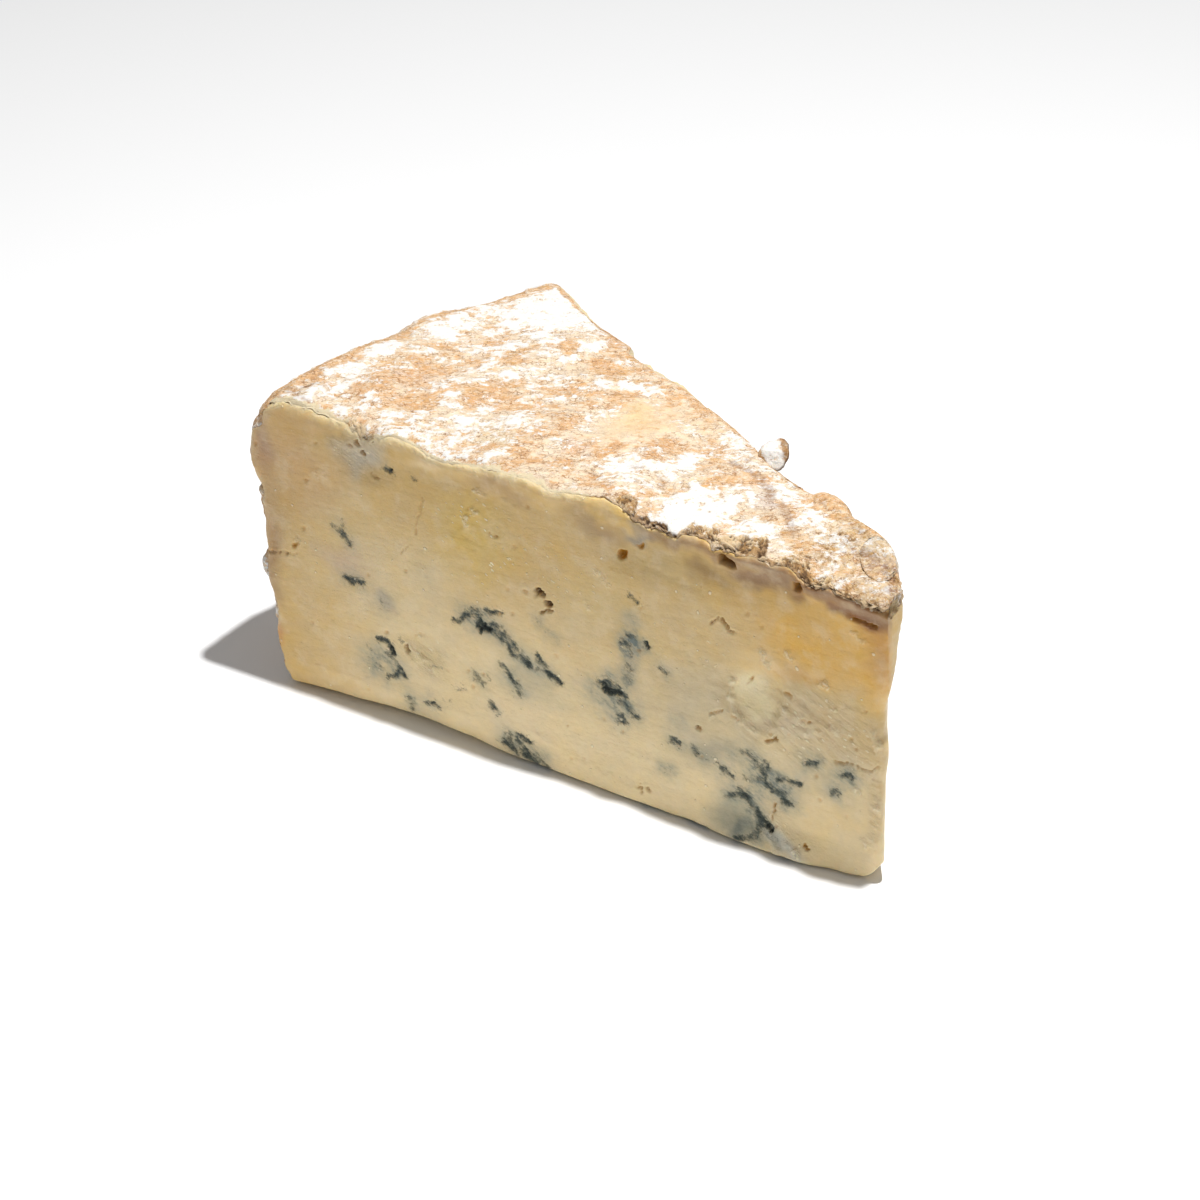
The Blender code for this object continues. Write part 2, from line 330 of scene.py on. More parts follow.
# where the rind ends
rindBorder = {
    # place along the edge, how far the rind reaches past it; below 0 the paste folds over the edge instead
    "front": [
        (0, 3.0), (3, 2.8), (6, 2.3), (9, 1.5), (12, 1.0), (15, 0.5), (17, 0.2), (20, 0.1), (22, 0.4),
        (24, 1.0),
        (27, 1.1), (30, 0.1), (32, 0.2), (34, 1.4), (38, 1.2), (40, 1.3), (43, 0.8), (45, 0.2), (50, -0.4),
        (55, -0.2),
        (60, -0.3), (66, -0.5), (71, 0.6), (75, 0.1), (79, 0.0), (81, 1.4), (83, 2.8), (85, 1.8),
        (87, -0.6), (92, -1.4),
        (95, -0.6), (98, -0.1), (104, 0.6),
    ],
    "back": [(0, 2.2), (20, 1.0), (34, 2.4), (48, 0.8), (62, 0.2), (75, 1.4), (90, 0.4), (104, 0.8)],
    "rimFront": [
        (0, 0.5), (8, 0.6), (14, 1.3), (18, 1.2), (22, 0.7), (26, 1.2), (30, 1.1), (34, 0.4), (39, 0.5),
        (42, 2.0), (46, 2.2)
    ],
    "rimBack": [(0, 0.8), (12, 0.4), (24, 1.2), (36, 0.6), (46, 1.0)],
    "tipDrop": 4.0,
    "raggedness": 0.5,
    "seeds": {"front": 101, "back": 131, "rimFront": 151, "rimBack": 171},
}


def ragged(place, seed):
    line = np.stack([place, place * 0, place * 0], axis=1)
    rough = softNoise(line, 3.1, seed) + 0.8 * softNoise(
        line, 1.25, seed + 1
    ) + 0.45 * softNoise(line, 0.6, seed + 2)
    return rindBorder["raggedness"] * rough


def borderDepth(side, place):
    return readProfile(rindBorder[side], place) + ragged(place, rindBorder["seeds"][side])


# meshes
def boxGrid(counts):
    # the surface of a box divided into counts, as places from -1 to 1 and quads
    _, ny, nz = counts
    quads = []
    for axis in range(3):
        b, c = (axis + 1) % 3, (axis + 2) % 3
        u, v = np.meshgrid(np.arange(counts[b]), np.arange(counts[c]), indexing="ij")
        u, v = u.ravel(), v.ravel()
        for end in (0, 1):
            corners = []
            for du, dv in ((0, 0), (1, 0), (1, 1), (0, 1)):
                place = [None] * 3
                place[axis] = np.full(len(u), end * counts[axis])
                place[b], place[c] = u + du, v + dv
                corners.append((place[0] * (ny + 1) + place[1]) * (nz + 1) + place[2])
            corners = np.stack(corners, axis=1)
            quads.append(corners if end else corners[:, ::-1])
    quads = np.concatenate(quads)
    keys, quads = np.unique(quads, return_inverse=True)
    grid = np.stack([keys // ((ny + 1) * (nz + 1)), keys // (nz + 1) % (ny + 1), keys % (nz + 1)], axis=1)
    return grid / np.array(counts) * 2.0 - 1.0, quads.reshape(-1, 4)


def splitFront(grid, quads):
    # halves the spacing on the front side and gives places, triangles and each triangle's side
    shape = bmesh.new()
    vertices = [shape.verts.new(place) for place in grid]
    for quad in quads:
        shape.faces.new([vertices[k] for k in quad])
    shape.normal_update()
    edges = [edge for edge in shape.edges if all(abs(vertex.co.y + 1) < 1e-6 for vertex in edge.verts)]
    bmesh.ops.subdivide_edges(shape, edges=edges, cuts=1, use_grid_fill=True)
    bmesh.ops.triangulate(shape, faces=shape.faces[:])
    shape.normal_update()
    shape.verts.index_update()
    places = np.array([vertex.co for vertex in shape.verts])
    faces = np.array([[vertex.index for vertex in face.verts] for face in shape.faces])
    facing = np.array([face.normal for face in shape.faces])
    shape.free()
    axis = np.abs(facing).argmax(axis=1)
    sides = axis * 2 + (facing[np.arange(len(axis)), axis] > 0)
    return places, faces, sides


def makePiece(name, points, faces, material, masks=None, charts=None, tints=None):
    mesh = bpy.data.meshes.new(name)
    mesh.vertices.add(len(points))
    mesh.vertices.foreach_set("co", ((points + drumAxis) * metresPerMm).astype(np.float32).ravel())
    mesh.loops.add(faces.size)
    mesh.loops.foreach_set("vertex_index", faces.ravel().astype(np.int32))
    mesh.polygons.add(len(faces))
    mesh.polygons.foreach_set("loop_start", (np.arange(len(faces)) * faces.shape[1]).astype(np.int32))
    mesh.update(calc_edges=True)
    mesh.validate()
    mesh.shade_smooth()
    for maskName, values in (masks or {}).items():
        attribute = mesh.attributes.new(maskName, "FLOAT", "POINT")
        attribute.data.foreach_set("value", values.astype(np.float32))
    for tintName, values in (tints or {}).items():
        attribute = mesh.attributes.new(tintName, "FLOAT_COLOR", "POINT")
        attribute.data.foreach_set("color", values.astype(np.float32).ravel())
    if charts is not None:
        layer = mesh.uv_layers.new(name="OFBake")
        layer.data.foreach_set("uv", charts.astype(np.float32).ravel())
    mesh.materials.append(material)
    piece = bpy.data.objects.new(name, mesh)
    bpy.context.scene.collection.objects.link(piece)
    return piece


# shader helpers
def tone(red, green, blue):
    # a display colour, 0 to 255, as the linear colour that a socket takes
    return tuple(
        (c / 255 / 12.92) if c < 10.3 else ((c / 255 + 0.055) / 1.055) ** 2.4 for c in (red, green, blue)
    ) + (1.0,)


def fill(item, values):
    for socket, value in (values or {}).items():
        if isinstance(value, bpy.types.NodeSocket):
            item.id_data.links.new(value, item.inputs[socket])
        else:
            item.inputs[socket].default_value = value
    return item


def addNode(tree, kind, values=None, **settings):
    item = tree.nodes.new("ShaderNode" + kind)
    for name, value in settings.items():
        setattr(item, name, value)
    return fill(item, values)


def maths(tree, operation, first, second=0.0, third=0.0, clamp=False):
    return addNode(
        tree, "Math", {0: first, 1: second, 2: third}, operation=operation, use_clamp=clamp
    ).outputs[0]


def times(tree, first, second, clamp=False):
    return maths(tree, "MULTIPLY", first, second, clamp=clamp)


def shaken(tree, value, amount, grain):
    # a value with grain added to it, the grain's middle counting as nothing
    return maths(tree, "MULTIPLY_ADD", maths(tree, "SUBTRACT", grain, 0.5), amount, value)


def mapped(tree, space, scale=(1, 1, 1), turn=(0, 0, 0)):
    return addNode(tree, "Mapping", {"Vector": space, "Rotation": turn, "Scale": scale}).outputs[0]


def mixed(tree, factor, first, second):
    return addNode(tree, "Mix", {0: factor, 6: first, 7: second}, data_type="RGBA").outputs[2]


def noiseAt(tree, space, scale, detail=3.0, roughness=0.55, distortion=0.0):
    values = {
        "Vector": space, "Scale": scale, "Detail": detail, "Roughness": roughness,
        "Distortion": distortion
    }
    return addNode(tree, "TexNoise", values).outputs["Fac"]


def remap(tree, value, low, high, toLow=0.0, toHigh=1.0):
    values = {"Value": value, "From Min": low, "From Max": high, "To Min": toLow, "To Max": toHigh}
    return addNode(tree, "MapRange", values, interpolation_type="SMOOTHSTEP").outputs[0]


def maskOf(tree, name, output="Fac"):
    return addNode(tree, "Attribute", attribute_name=name).outputs[output]


def newGroup(name, inputs, outputs):
    group = bpy.data.node_groups.new(name, "ShaderNodeTree")
    for socketName, kind, value in inputs:
        socket = group.interface.new_socket(socketName, in_out="INPUT", socket_type="NodeSocket" + kind)
        if value is not None:
            socket.default_value = value
    for socketName, kind in outputs:
        group.interface.new_socket(socketName, in_out="OUTPUT", socket_type="NodeSocket" + kind)
    return group, group.nodes.new("NodeGroupInput").outputs, group.nodes.new("NodeGroupOutput").inputs


def makeBrokenEdgeGroup():
    # roughens a soft mask with grain and gives it an edge again
    group, given, out = newGroup("brokenEdge", [
        ("Space", "Vector", None), ("Mask", "Float", 0.0), ("Roughness", "Float", 0.8),
        ("Grain Scale", "Float", 1.5), ("Softness", "Float", 0.15),
    ], [("Mask", "Float"), ("Outline", "Float")])
    rough = noiseAt(group, given["Space"], given["Grain Scale"], 5.0, 0.65)
    shift = maths(
        group, "MULTIPLY_ADD", maths(group, "SUBTRACT", rough, 0.5), given["Roughness"], given["Mask"]
    )
    low = maths(group, "SUBTRACT", 0.5, given["Softness"])
    high = maths(group, "ADD", 0.5, given["Softness"])
    values = {"Value": shift, "From Min": low, "From Max": high, "To Min": 0.0, "To Max": 1.0}
    edge = addNode(group, "MapRange", values, interpolation_type="SMOOTHSTEP")
    group.links.new(edge.outputs[0], out["Mask"])
    away = maths(group, "ABSOLUTE", maths(group, "SUBTRACT", shift, low))
    group.links.new(remap(group, away, 0.0, 0.05, 1.0, 0.0), out["Outline"])
    return group


def makeMottleGroup():
    # shifts a colour lighter and darker, and a little warmer and cooler, in patches of two sizes
    group, given, out = newGroup("mottle", [
        ("Space", "Vector", None), ("Color", "Color", None), ("Patch Scale", "Float", 0.3),
        ("Fine Scale", "Float", 2.0), ("Amount", "Float", 0.1),
    ], [("Color", "Color")])
    patches = noiseAt(group, given["Space"], given["Patch Scale"], 3.0, 0.6)
    fine = noiseAt(group, given["Space"], given["Fine Scale"], 4.0, 0.6)
    both = maths(group, "MULTIPLY_ADD", patches, 1.2, fine)
    light = maths(group, "MULTIPLY_ADD", maths(group, "SUBTRACT", both, 1.1), given["Amount"], 1.0)
    depth = maths(
        group, "MULTIPLY_ADD", maths(group, "SUBTRACT", patches, 0.5), times(group, given["Amount"], 2.5),
        1.0
    )
    shifted = addNode(
        group, "HueSaturation", {"Saturation": depth, "Value": light, "Color": given["Color"]}
    )
    group.links.new(shifted.outputs[0], out["Color"])
    return group


def makeGrainGroup():
    # height of crumbly grain, 0 to 1
    group, given, out = newGroup("crumbGrain", [
        ("Space", "Vector", None), ("Coarse Scale", "Float", 0.8), ("Fine Scale", "Float", 4.0),
        ("Crumb Share", "Float", 0.5),
    ], [("Height", "Float")])
    coarse = noiseAt(group, given["Space"], given["Coarse Scale"], 4.0, 0.6)
    cells = addNode(
        group, "TexVoronoi", {"Vector": given["Space"], "Scale": given["Fine Scale"]}, feature="SMOOTH_F1"
    )
    crumbs = maths(group, "SUBTRACT", 1.0, cells.outputs["Distance"])
    blend = addNode(group, "Mix", {0: given["Crumb Share"], 2: coarse, 3: crumbs})
    group.links.new(blend.outputs[0], out["Height"])
    return group


def makeFleckGroup():
    # small separate specks of uneven size, 0 or 1 with soft edges; Share is how many cells hold one
    group, given, out = newGroup("flecks", [
        (
            "Space", "Vector", None
        ), ("Scale", "Float", 1.5), ("Size", "Float", 0.25), ("Share", "Float", 0.4),
    ], [("Mask", "Float")])
    bent = noiseAt(group, given["Space"], times(group, given["Scale"], 1.6), 3.0, 0.6)
    cells = addNode(group, "TexVoronoi", {"Vector": given["Space"], "Scale": given["Scale"]})
    pick = addNode(group, "SeparateColor", {"Color": cells.outputs["Color"]})
    reach = maths(
        group, "MULTIPLY_ADD", maths(group, "SUBTRACT", bent, 0.5), 0.5, cells.outputs["Distance"]
    )
    size = times(group, given["Size"], maths(group, "ADD", pick.outputs[1], 0.4))
    spot = addNode(
        group, "MapRange",
        {"Value": maths(group, "SUBTRACT", size, reach), "From Min": -0.04, "From Max": 0.05},
        interpolation_type="SMOOTHSTEP"
    )
    kept = maths(group, "LESS_THAN", pick.outputs[0], given["Share"])
    group.links.new(times(group, spot.outputs[0], kept), out["Mask"])
    return group


def makeLaceGroup():
    # small pale grains and the dark lines between some of them
    group, given, out = newGroup("lace", [
        ("Space", "Vector", None), ("Scale", "Float", 2.0), ("Share", "Float", 0.5),
    ], [("Grain", "Float"), ("Line", "Float")])
    swirl = addNode(
        group, "TexNoise",
        {"Vector": given["Space"], "Scale": given["Scale"], "Detail": 3.0, "Roughness": 0.6}
    )
    shift = addNode(
        group, "VectorMath", {0: swirl.outputs["Color"], 1: (0.5, 0.5, 0.5)}, operation="SUBTRACT"
    ).outputs[0]
    bent = addNode(
        group, "VectorMath", {0: shift, 1: (0.7, 0.7, 0.7), 2: given["Space"]}, operation="MULTIPLY_ADD"
    ).outputs[0]
    cells = addNode(group, "TexVoronoi", {"Vector": bent, "Scale": given["Scale"]})
    border = addNode(
        group, "TexVoronoi", {"Vector": bent, "Scale": given["Scale"]}, feature="DISTANCE_TO_EDGE"
    ).outputs["Distance"]
    pick = addNode(group, "SeparateColor", {"Color": cells.outputs["Color"]})
    kept = remap(group, maths(group, "SUBTRACT", given["Share"], pick.outputs[0]), -0.15, 0.15)
    group.links.new(times(group, remap(group, border, 0.04, 0.2), kept), out["Grain"])
    lined = remap(group, noiseAt(group, given["Space"], 0.9, 3.0, 0.6), 0.42, 0.6)
    group.links.new(times(group, remap(group, border, 0.02, 0.1, 1.0, 0.0), lined), out["Line"])
    return group


shared = {
    "brokenEdge": makeBrokenEdgeGroup(),
    "mottle": makeMottleGroup(),
    "grain": makeGrainGroup(),
    "flecks": makeFleckGroup(),
    "lace": makeLaceGroup(),
}


def useGroup(tree, name, values=None, every=False):
    item = addNode(tree, "Group")
    item.node_tree = shared[name]
    fill(item, values)
    return item.outputs if every else item.outputs[0]


def startMaterial(name):
    # gives the material, its nodes, its shader and the piece's own space in millimetres
    material = bpy.data.materials.new(name)
    material.use_nodes = True
    tree = material.node_tree
    place = addNode(tree, "TexCoord").outputs["Object"]
    space = addNode(
        tree, "VectorMath", {0: place, "Scale": 1.0 / metresPerMm}, operation="SCALE"
    ).outputs[0]
    return material, tree, tree.nodes["Principled BSDF"], space


print("helpers ready")


# paste: the cut cheese itself
paste = {
    "divisions": (200, 24, 80),
    "closeness": (0.12, 0.2, 0.12),
    "underRind": 0.7,  # how far the paste stays below the rind that covers it
    "footRadius": 5.0,
    # marks run in at a slant: how far they shift along the cut and up for each mm that it bulges
    "slant": (0.63, -0.69),
    # painted shade: the dark brown tone for the paste just under the crust's overhanging edge
    "underCrustShadeTone": tone(158, 124, 88),
    "lipTone": tone(226, 204, 160),
    "base": tone(233, 211, 164),
    "ripe": tone(214, 180, 115),
    "mouldHaze": tone(128, 139, 131),
    "mould": tone(66, 78, 73),
    "mouldDark": tone(27, 33, 29),
    "pit": tone(208, 144, 12),
    "pitDark": tone(84, 48, 8),
    # pale specks: painted glints, and the pale chips' own colour
    "fleck": tone(250, 238, 206),
    "roughTone": tone(240, 222, 188),
    # painted shade for the low streaks of the torn zone
    "tornShadeTone": tone(196, 168, 122),
}
# slow changes of tone on the front, and painted shade: middle (along, height), half sizes, tone, strength;
# the darker brown entries just under the rind's edge, from along 0 to 60 at heights 39 to 46, are painted
# shade from the crust's overhang
frontTintsAndShade = [
    ((96, 38), (12, 14), tone(212, 172, 118), 0.75), ((84, 33), (9, 9), tone(218, 188, 130), 0.5),
    ((30, 19), (15, 11), tone(202, 186, 150), 0.75), ((66, 34), (10, 11), tone(220, 187, 106), 1.1),
    ((45, 30), (16, 9), tone(214, 190, 132), 0.45), ((35, 39), (13, 5), tone(198, 172, 118), 0.7),
    ((8, 35), (21, 10), tone(228, 182, 96), 1.5), ((20, 39), (14, 5.5), tone(212, 174, 104), 1.1),
    ((3, 37), (5, 7), tone(206, 154, 80), 0.9), ((9, 40.9), (13, 2.6), tone(146, 104, 64), 1.4),
    ((4, 39.3), (5, 2), tone(136, 82, 32), 1.3), ((19.5, 42.8), (8, 3), tone(154, 120, 82), 1.3),
    ((19, 45.4), (6, 1.8), tone(124, 98, 66), 1.4), ((28, 40.6), (6, 2.6), tone(166, 134, 80), 1.0),
    ((45, 41.8), (8, 2.6), tone(174, 144, 102), 0.9), ((39, 42.8), (4, 1.8), tone(160, 146, 124), 1.0),
    ((60, 42.8), (9, 2.6), tone(186, 152, 104), 0.8), ((75, 43.4), (5, 1.8), tone(236, 206, 146), 0.8),
    ((90, 43.6), (5, 2), tone(222, 186, 130), 0.8), ((99.5, 20), (3.4, 18), tone(174, 140, 98), 0.9),
    ((81, 18), (3, 3), tone(196, 172, 146), 0.6), ((14, 29), (6, 2.6), tone(214, 168, 96), 0.7),
    ((20.6, 23.4), (4.4, 6.6), tone(246, 228, 182), 1.6), ((11, 22), (9, 5), tone(224, 200, 158), 0.7),
    ((8, 9), (11, 7), tone(226, 200, 148), 0.6), ((101, 38), (3.2, 7), tone(182, 146, 116), 0.85),
    ((101, 26), (2.6, 8), tone(194, 156, 110), 0.7), ((99.5, 7), (2.4, 8), tone(208, 144, 80), 0.9),
    ((84, 40), (5, 4.6), tone(206, 192, 166), 1.1), ((86.5, 24), (7, 4.6), tone(208, 182, 156), 0.7),
    ((80.6, 19), (3, 3), tone(186, 172, 146), 0.7), ((73.5, 13), (5, 5), tone(236, 214, 164), 0.8),
    ((58, 7), (16, 7), tone(240, 218, 174), 0.7), ((56, 14.5), (10, 5.5), tone(196, 184, 148), 0.6),
    ((28, 12.5), (6, 4), tone(184, 172, 142), 0.8), ((9, 13), (9, 4), tone(206, 188, 148), 0.7),
    ((16, 19.5), (9, 3.5), tone(238, 220, 184), 0.6), ((75, 26), (4, 3), tone(206, 192, 156), 0.4),
    ((24.2, 3.2), (6.5, 5), tone(166, 164, 140), 0.75), ((22.3, 1.6), (3.6, 3.6), tone(112, 119, 108), 0.9),
    ((16.4, 0.7), (3.6, 2.2), tone(208, 203, 186), 1.1), ((94, 14), (6, 4), tone(222, 192, 136), 0.5),
]
# mould in the front cut, as strokes (path, half width, strength)
darkVeins = [
    (((87.8, 28.6), (87.2, 27.8), (86.8, 27.1), (86.3, 26.6)), 0.3, 0.85),
    (((88.9, 28.9), (88.4, 28.7)), 0.22, 0.6), (((87.9, 29.9), (87.4, 29.6), (87.3, 28.8)), 0.24, 0.55),
    (((87.4, 21.2), (86.6, 20.9), (85.8, 20.6)), 0.26, 0.95),
    (((86.4, 20.9), (85.2, 21.1), (84.3, 21)), 0.16, 0.9),
    (((82, 12.7), (81, 12.6), (80.2, 12.6), (79.4, 12.4)), 0.16, 0.95),
    (((80.4, 10.9), (79.6, 10.4), (79.2, 10), (78.6, 9.3), (78.1, 8.8)), 0.2, 0.8),
    (((78.2, 9), (77.6, 8.1)), 0.16, 0.95), (((78.4, 9.1), (78.8, 8.4), (79.2, 7.9)), 0.24, 0.95),
    (((79.2, 7.8), (80, 7.5), (80.6, 7.3)), 0.24, 0.6), (((84, 10.7), (83.2, 10.6)), 0.14, 0.6),
    (((83.6, 8.8), (82.4, 8.4), (81.4, 8)), 0.16, 0.45), (((79.9, 40.4), (79.2, 40.2)), 0.26, 0.95),
    (((75.6, 40), (74.8, 40.2)), 0.12, 0.5), (((78.3, 13.7), (78.1, 13.5)), 0.18, 0.7),
    (((73, 11.2), (71.4, 11.4)), 0.14, 0.5), (((77, 4.6), (76.2, 4.1)), 0.34, 0.6),
    (((76.5, 3.3), (76.3, 3.2)), 0.2, 0.7), (((73.8, 4.9), (73, 5.2), (72, 4.8)), 0.3, 0.85),
    (((70.2, 6.3), (69.9, 6)), 0.22, 0.55), (((69.3, 8.7), (68.6, 8.8), (68.3, 9)), 0.2, 0.5),
    (((68, 9.9), (67.6, 9.4)), 0.14, 0.4),
    (((66.1, 12.1), (65.5, 12.1), (65, 11.7), (64.6, 11)), 0.16, 0.65),
    (((66, 11.3), (64.9, 11)), 0.2, 0.5), (((64, 12.6), (63.3, 12.5)), 0.16, 0.45),
    (((64.4, 11.4), (63.8, 11.4)), 0.14, 0.4),
    (((63.4, 8.5), (62.9, 8), (62.4, 7.5), (62.1, 7)), 0.16, 0.85),
    (((69.1, 20), (68.2, 19.9), (67.9, 20.5)), 0.24, 0.85),
    (((67.9, 20.6), (67.4, 21.2), (66.6, 21.6), (65.6, 21.5), (64.9, 21.2)), 0.17, 0.92),
    (((66.3, 22.5), (65.4, 22.3), (64.8, 22)), 0.2, 0.7),
    (((63, 21.2), (62.2, 21), (61.7, 20.8)), 0.2, 0.75),
    (((62.9, 20.5), (62.2, 20.1), (61.4, 19.8)), 0.3, 0.75),
    (((61.6, 20.1), (60.8, 20), (60, 19.8), (59.5, 19.3), (59.1, 18.7)), 0.18, 0.92),
    (((61.4, 19.2), (60.8, 19), (60.4, 18.6)), 0.28, 0.85),
    (((60.6, 19.4), (60.1, 18.8), (59.9, 18.2)), 0.26, 0.7),
    (((60, 17.9), (59.6, 17.4), (59.1, 17)), 0.15, 0.85),
    (((59.8, 18.8), (59, 18.2), (58.4, 17.6)), 0.3, 0.55),
    (((58.2, 17.6), (57.4, 17.1), (56.8, 16.6)), 0.23, 0.95), (((58.4, 17.1), (57.8, 17)), 0.2, 0.7),
    (((55.8, 16.5), (55, 16.3), (54, 16)), 0.18, 0.7),
    (((54.2, 16.2), (53.2, 15.9), (52.4, 15.6), (51.7, 15.3)), 0.2, 1.0),
    (((55.6, 18.4), (55.2, 18), (54.8, 17.5), (54.1, 17.2)), 0.2, 0.95),
    (((55.8, 17.9), (55.2, 17.7)), 0.16, 0.7),
    (((63.8, 22.8), (62.8, 22.8), (62, 23.1), (61.2, 23.5)), 0.2, 0.95),
    (((61.6, 15), (61, 14.8), (60.4, 14.2), (59.8, 13.6), (59, 12.9)), 0.16, 0.95),
    (((59.2, 13), (58.6, 12.2), (58.6, 11.7)), 0.36, 0.62), (((58.9, 11.6), (58.4, 11.5)), 0.2, 0.8),
    (((61, 2.5), (60.4, 2.4), (60, 2.2)), 0.34, 0.85), (((60.5, 4.2), (60, 3.5), (59.6, 2.4)), 0.26, 0.72),
    (((61, 4.8), (60, 4.4), (59, 4.3)), 0.16, 0.5), (((58.6, 4.6), (57.8, 4.4), (56.6, 4.1)), 0.18, 0.9),
    (((58.8, 3.9), (58.2, 3.3), (57.4, 2.8), (56.6, 2.4), (55.6, 2.1), (54.4, 1.7)), 0.15, 0.8),
    (((58.2, 2.3), (57.6, 2.2), (57, 2.2)), 0.34, 0.95),
    (((57.6, 1.8), (56.4, 1.7), (55.8, 1.6)), 0.26, 0.95),
    (((54.6, 1.6), (54, 1.3), (53.6, 1.1)), 0.2, 0.95), (((60, 2), (58.8, 1.6)), 0.22, 0.6),
    (((45.8, 17.5), (45.2, 17.3)), 0.28, 0.9), (((44.4, 18.2), (43.8, 17.9)), 0.26, 0.9),
    (((42.8, 17.9), (42.4, 17.7)), 0.26, 0.95), (((42.2, 17.2), (41.8, 16.7), (41.3, 16.4)), 0.17, 0.9),
    (((43.8, 17.8), (42.4, 17.2)), 0.4, 0.62), (((42.2, 15.6), (41.4, 15.3), (40.9, 15)), 0.28, 0.75),
    (((40.8, 14.7), (40.3, 14.5), (40.1, 14.2)), 0.26, 0.85), (((39.7, 14.3), (39.4, 14.2)), 0.18, 0.95),
    (((42.6, 13.2), (42, 13)), 0.26, 0.6), (((42.7, 12.3), (42, 12.5), (41.4, 12.7)), 0.22, 0.9),
    (((42, 13.3), (41.9, 12.6)), 0.3, 0.75),
    (((40.8, 32.4), (40, 32.2), (39.5, 31.9), (39.3, 31.5)), 0.14, 0.75),
    (((41.2, 26.1), (40.4, 26.2), (40, 26.3)), 0.14, 0.75),
    (((42, 25.1), (41.3, 24.9), (40.8, 24.8)), 0.22, 0.7), (((40.9, 24.4), (40.6, 23.4)), 0.2, 0.55),
    (((41, 21.7), (40.8, 21.4)), 0.22, 0.6), (((41, 19.7), (40.8, 19.4)), 0.24, 0.55),
    (((36.1, 22.8), (35.5, 22.5), (35, 22.2)), 0.2, 0.6), (((33.8, 12.2), (33, 11.9)), 0.34, 0.88),
    (((30.5, 11.8), (30.1, 11.6)), 0.26, 0.85), (((26.2, 10.2), (25.5, 9.8), (24.8, 9.5)), 0.26, 0.92),
    (((27, 11), (26.3, 10.3)), 0.14, 0.5), (((22.9, 14), (22.2, 14.1), (21.6, 13.6)), 0.3, 0.62),
    (((21.6, 13.5), (20.8, 13.1), (20.2, 12.6)), 0.24, 0.8),
    (((20, 13.3), (19.6, 13.7), (19.1, 13.6), (18.9, 13.2), (19.1, 12.8)), 0.14, 0.85),
    (((20.3, 12.6), (19.8, 12.2), (19.4, 11.7)), 0.3, 0.95),
    (((19.4, 11.7), (19.35, 11), (19.4, 10.2)), 0.13, 1.0), (((19.4, 10.3), (18.9, 10.1)), 0.16, 1.0),
    (((19, 10.1), (18, 9.8), (17, 9.7), (16.4, 9.4)), 0.38, 0.84),
    (((20.8, 10.6), (19.8, 10.6)), 0.24, 0.7), (((16.2, 8.5), (15.6, 8.3)), 0.4, 0.85),
    (((17.3, 11.6), (16.4, 12), (15.4, 12), (14.1, 12)), 0.15, 0.92), (((15, 11.9), (14.2, 12)), 0.2, 0.9),
    (((22.9, 10.2), (22.4, 10)), 0.14, 0.6), (((21.6, 10.7), (21.2, 10.6)), 0.14, 0.5),
    (((23.6, 8.1), (23, 7.5)), 0.26, 0.8),
    (((25.4, 6.2), (24.4, 6.7), (23.4, 7.2), (22.6, 7.1)), 0.2, 0.85),
    (((23.2, 7), (22.4, 7), (22, 6.7)), 0.3, 0.95),
    (((22, 6.7), (21.4, 6.1), (20.6, 5.3), (19.8, 4.6)), 0.12, 1.0),
    (((20.4, 5), (19.7, 4.5), (19.2, 4.1)), 0.26, 0.95),
    (((19.8, 4.4), (20.2, 3.4), (20.4, 2.4), (20.9, 1.6)), 0.32, 0.8),
    (((20.9, 1.5), (21.8, 0.9), (22.8, 0.4), (24, 0)), 0.3, 0.8), (((19.6, 3), (19.2, 2.4)), 0.2, 0.5),
    (((18.6, 2.8), (17.8, 2.4)), 0.13, 0.4), (((18.4, 2), (17.2, 1.7)), 0.12, 0.4),
    (((13.2, 15.5), (12.6, 15.9), (11.8, 16.1)), 0.28, 0.88),
    (((8, 15.4), (7, 15.7), (6.3, 15.5)), 0.28, 0.88), (((9.3, 12.4), (8.6, 12.8), (8.3, 12.3)), 0.28, 0.7),
]
blackVeins = [
    (((79.9, 12.2), (79.5, 11.9), (79.5, 11.4)), 0.28, 1),
    (((64.8, 21.1), (64.4, 20.3), (63.6, 20.2), (63.2, 20.2)), 0.3, 1),
    (((65.1, 20.1), (64.6, 19.8), (64.5, 19.3)), 0.26, 1), (((64.2, 20.9), (64, 20.4)), 0.26, 1),
    (((63.2, 22.8), (62.4, 22.9)), 0.16, 0.9), (((73.2, 5.2), (72.8, 5.3)), 0.16, 0.95),
    (((58, 1.9), (57.2, 1.7)), 0.2, 0.95), (((44.8, 17.3), (44.3, 16.7)), 0.42, 1),
    (((44.6, 16.4), (43.8, 16.3)), 0.34, 1), (((44, 17), (43.2, 16.7)), 0.36, 1),
    (((43.2, 16.8), (42.3, 16.7)), 0.28, 0.95), (((38.3, 25.9), (38.1, 25.4)), 0.26, 1),
    (((18.8, 3.8), (18.4, 3.4)), 0.36, 1), (((79.4, 40.3), (79.1, 40.2)), 0.18, 1),
    (((52.8, 15.8), (52.2, 15.5)), 0.16, 0.9), (((12.5, 15.9), (12.1, 16)), 0.16, 0.85),
    (((7, 15.6), (6.8, 15.5)), 0.16, 0.8),
]
softVeins = [
    (((55.3, 24.3), (55.4, 23.6), (53.9, 22.9), (52, 21.9)), 0.2, 0.55),
    (((81.2, 19.1), (80.6, 18.7)), 0.3, 0.5), (((34.8, 7.2), (34.2, 7.4)), 0.4, 0.4),
    (((29, 11.3), (26.8, 10.4)), 0.2, 0.5), (((7.4, 18), (7.1, 16.6)), 0.2, 0.4),
    (((24.6, 13), (23.4, 13.6)), 0.3, 0.5),
]
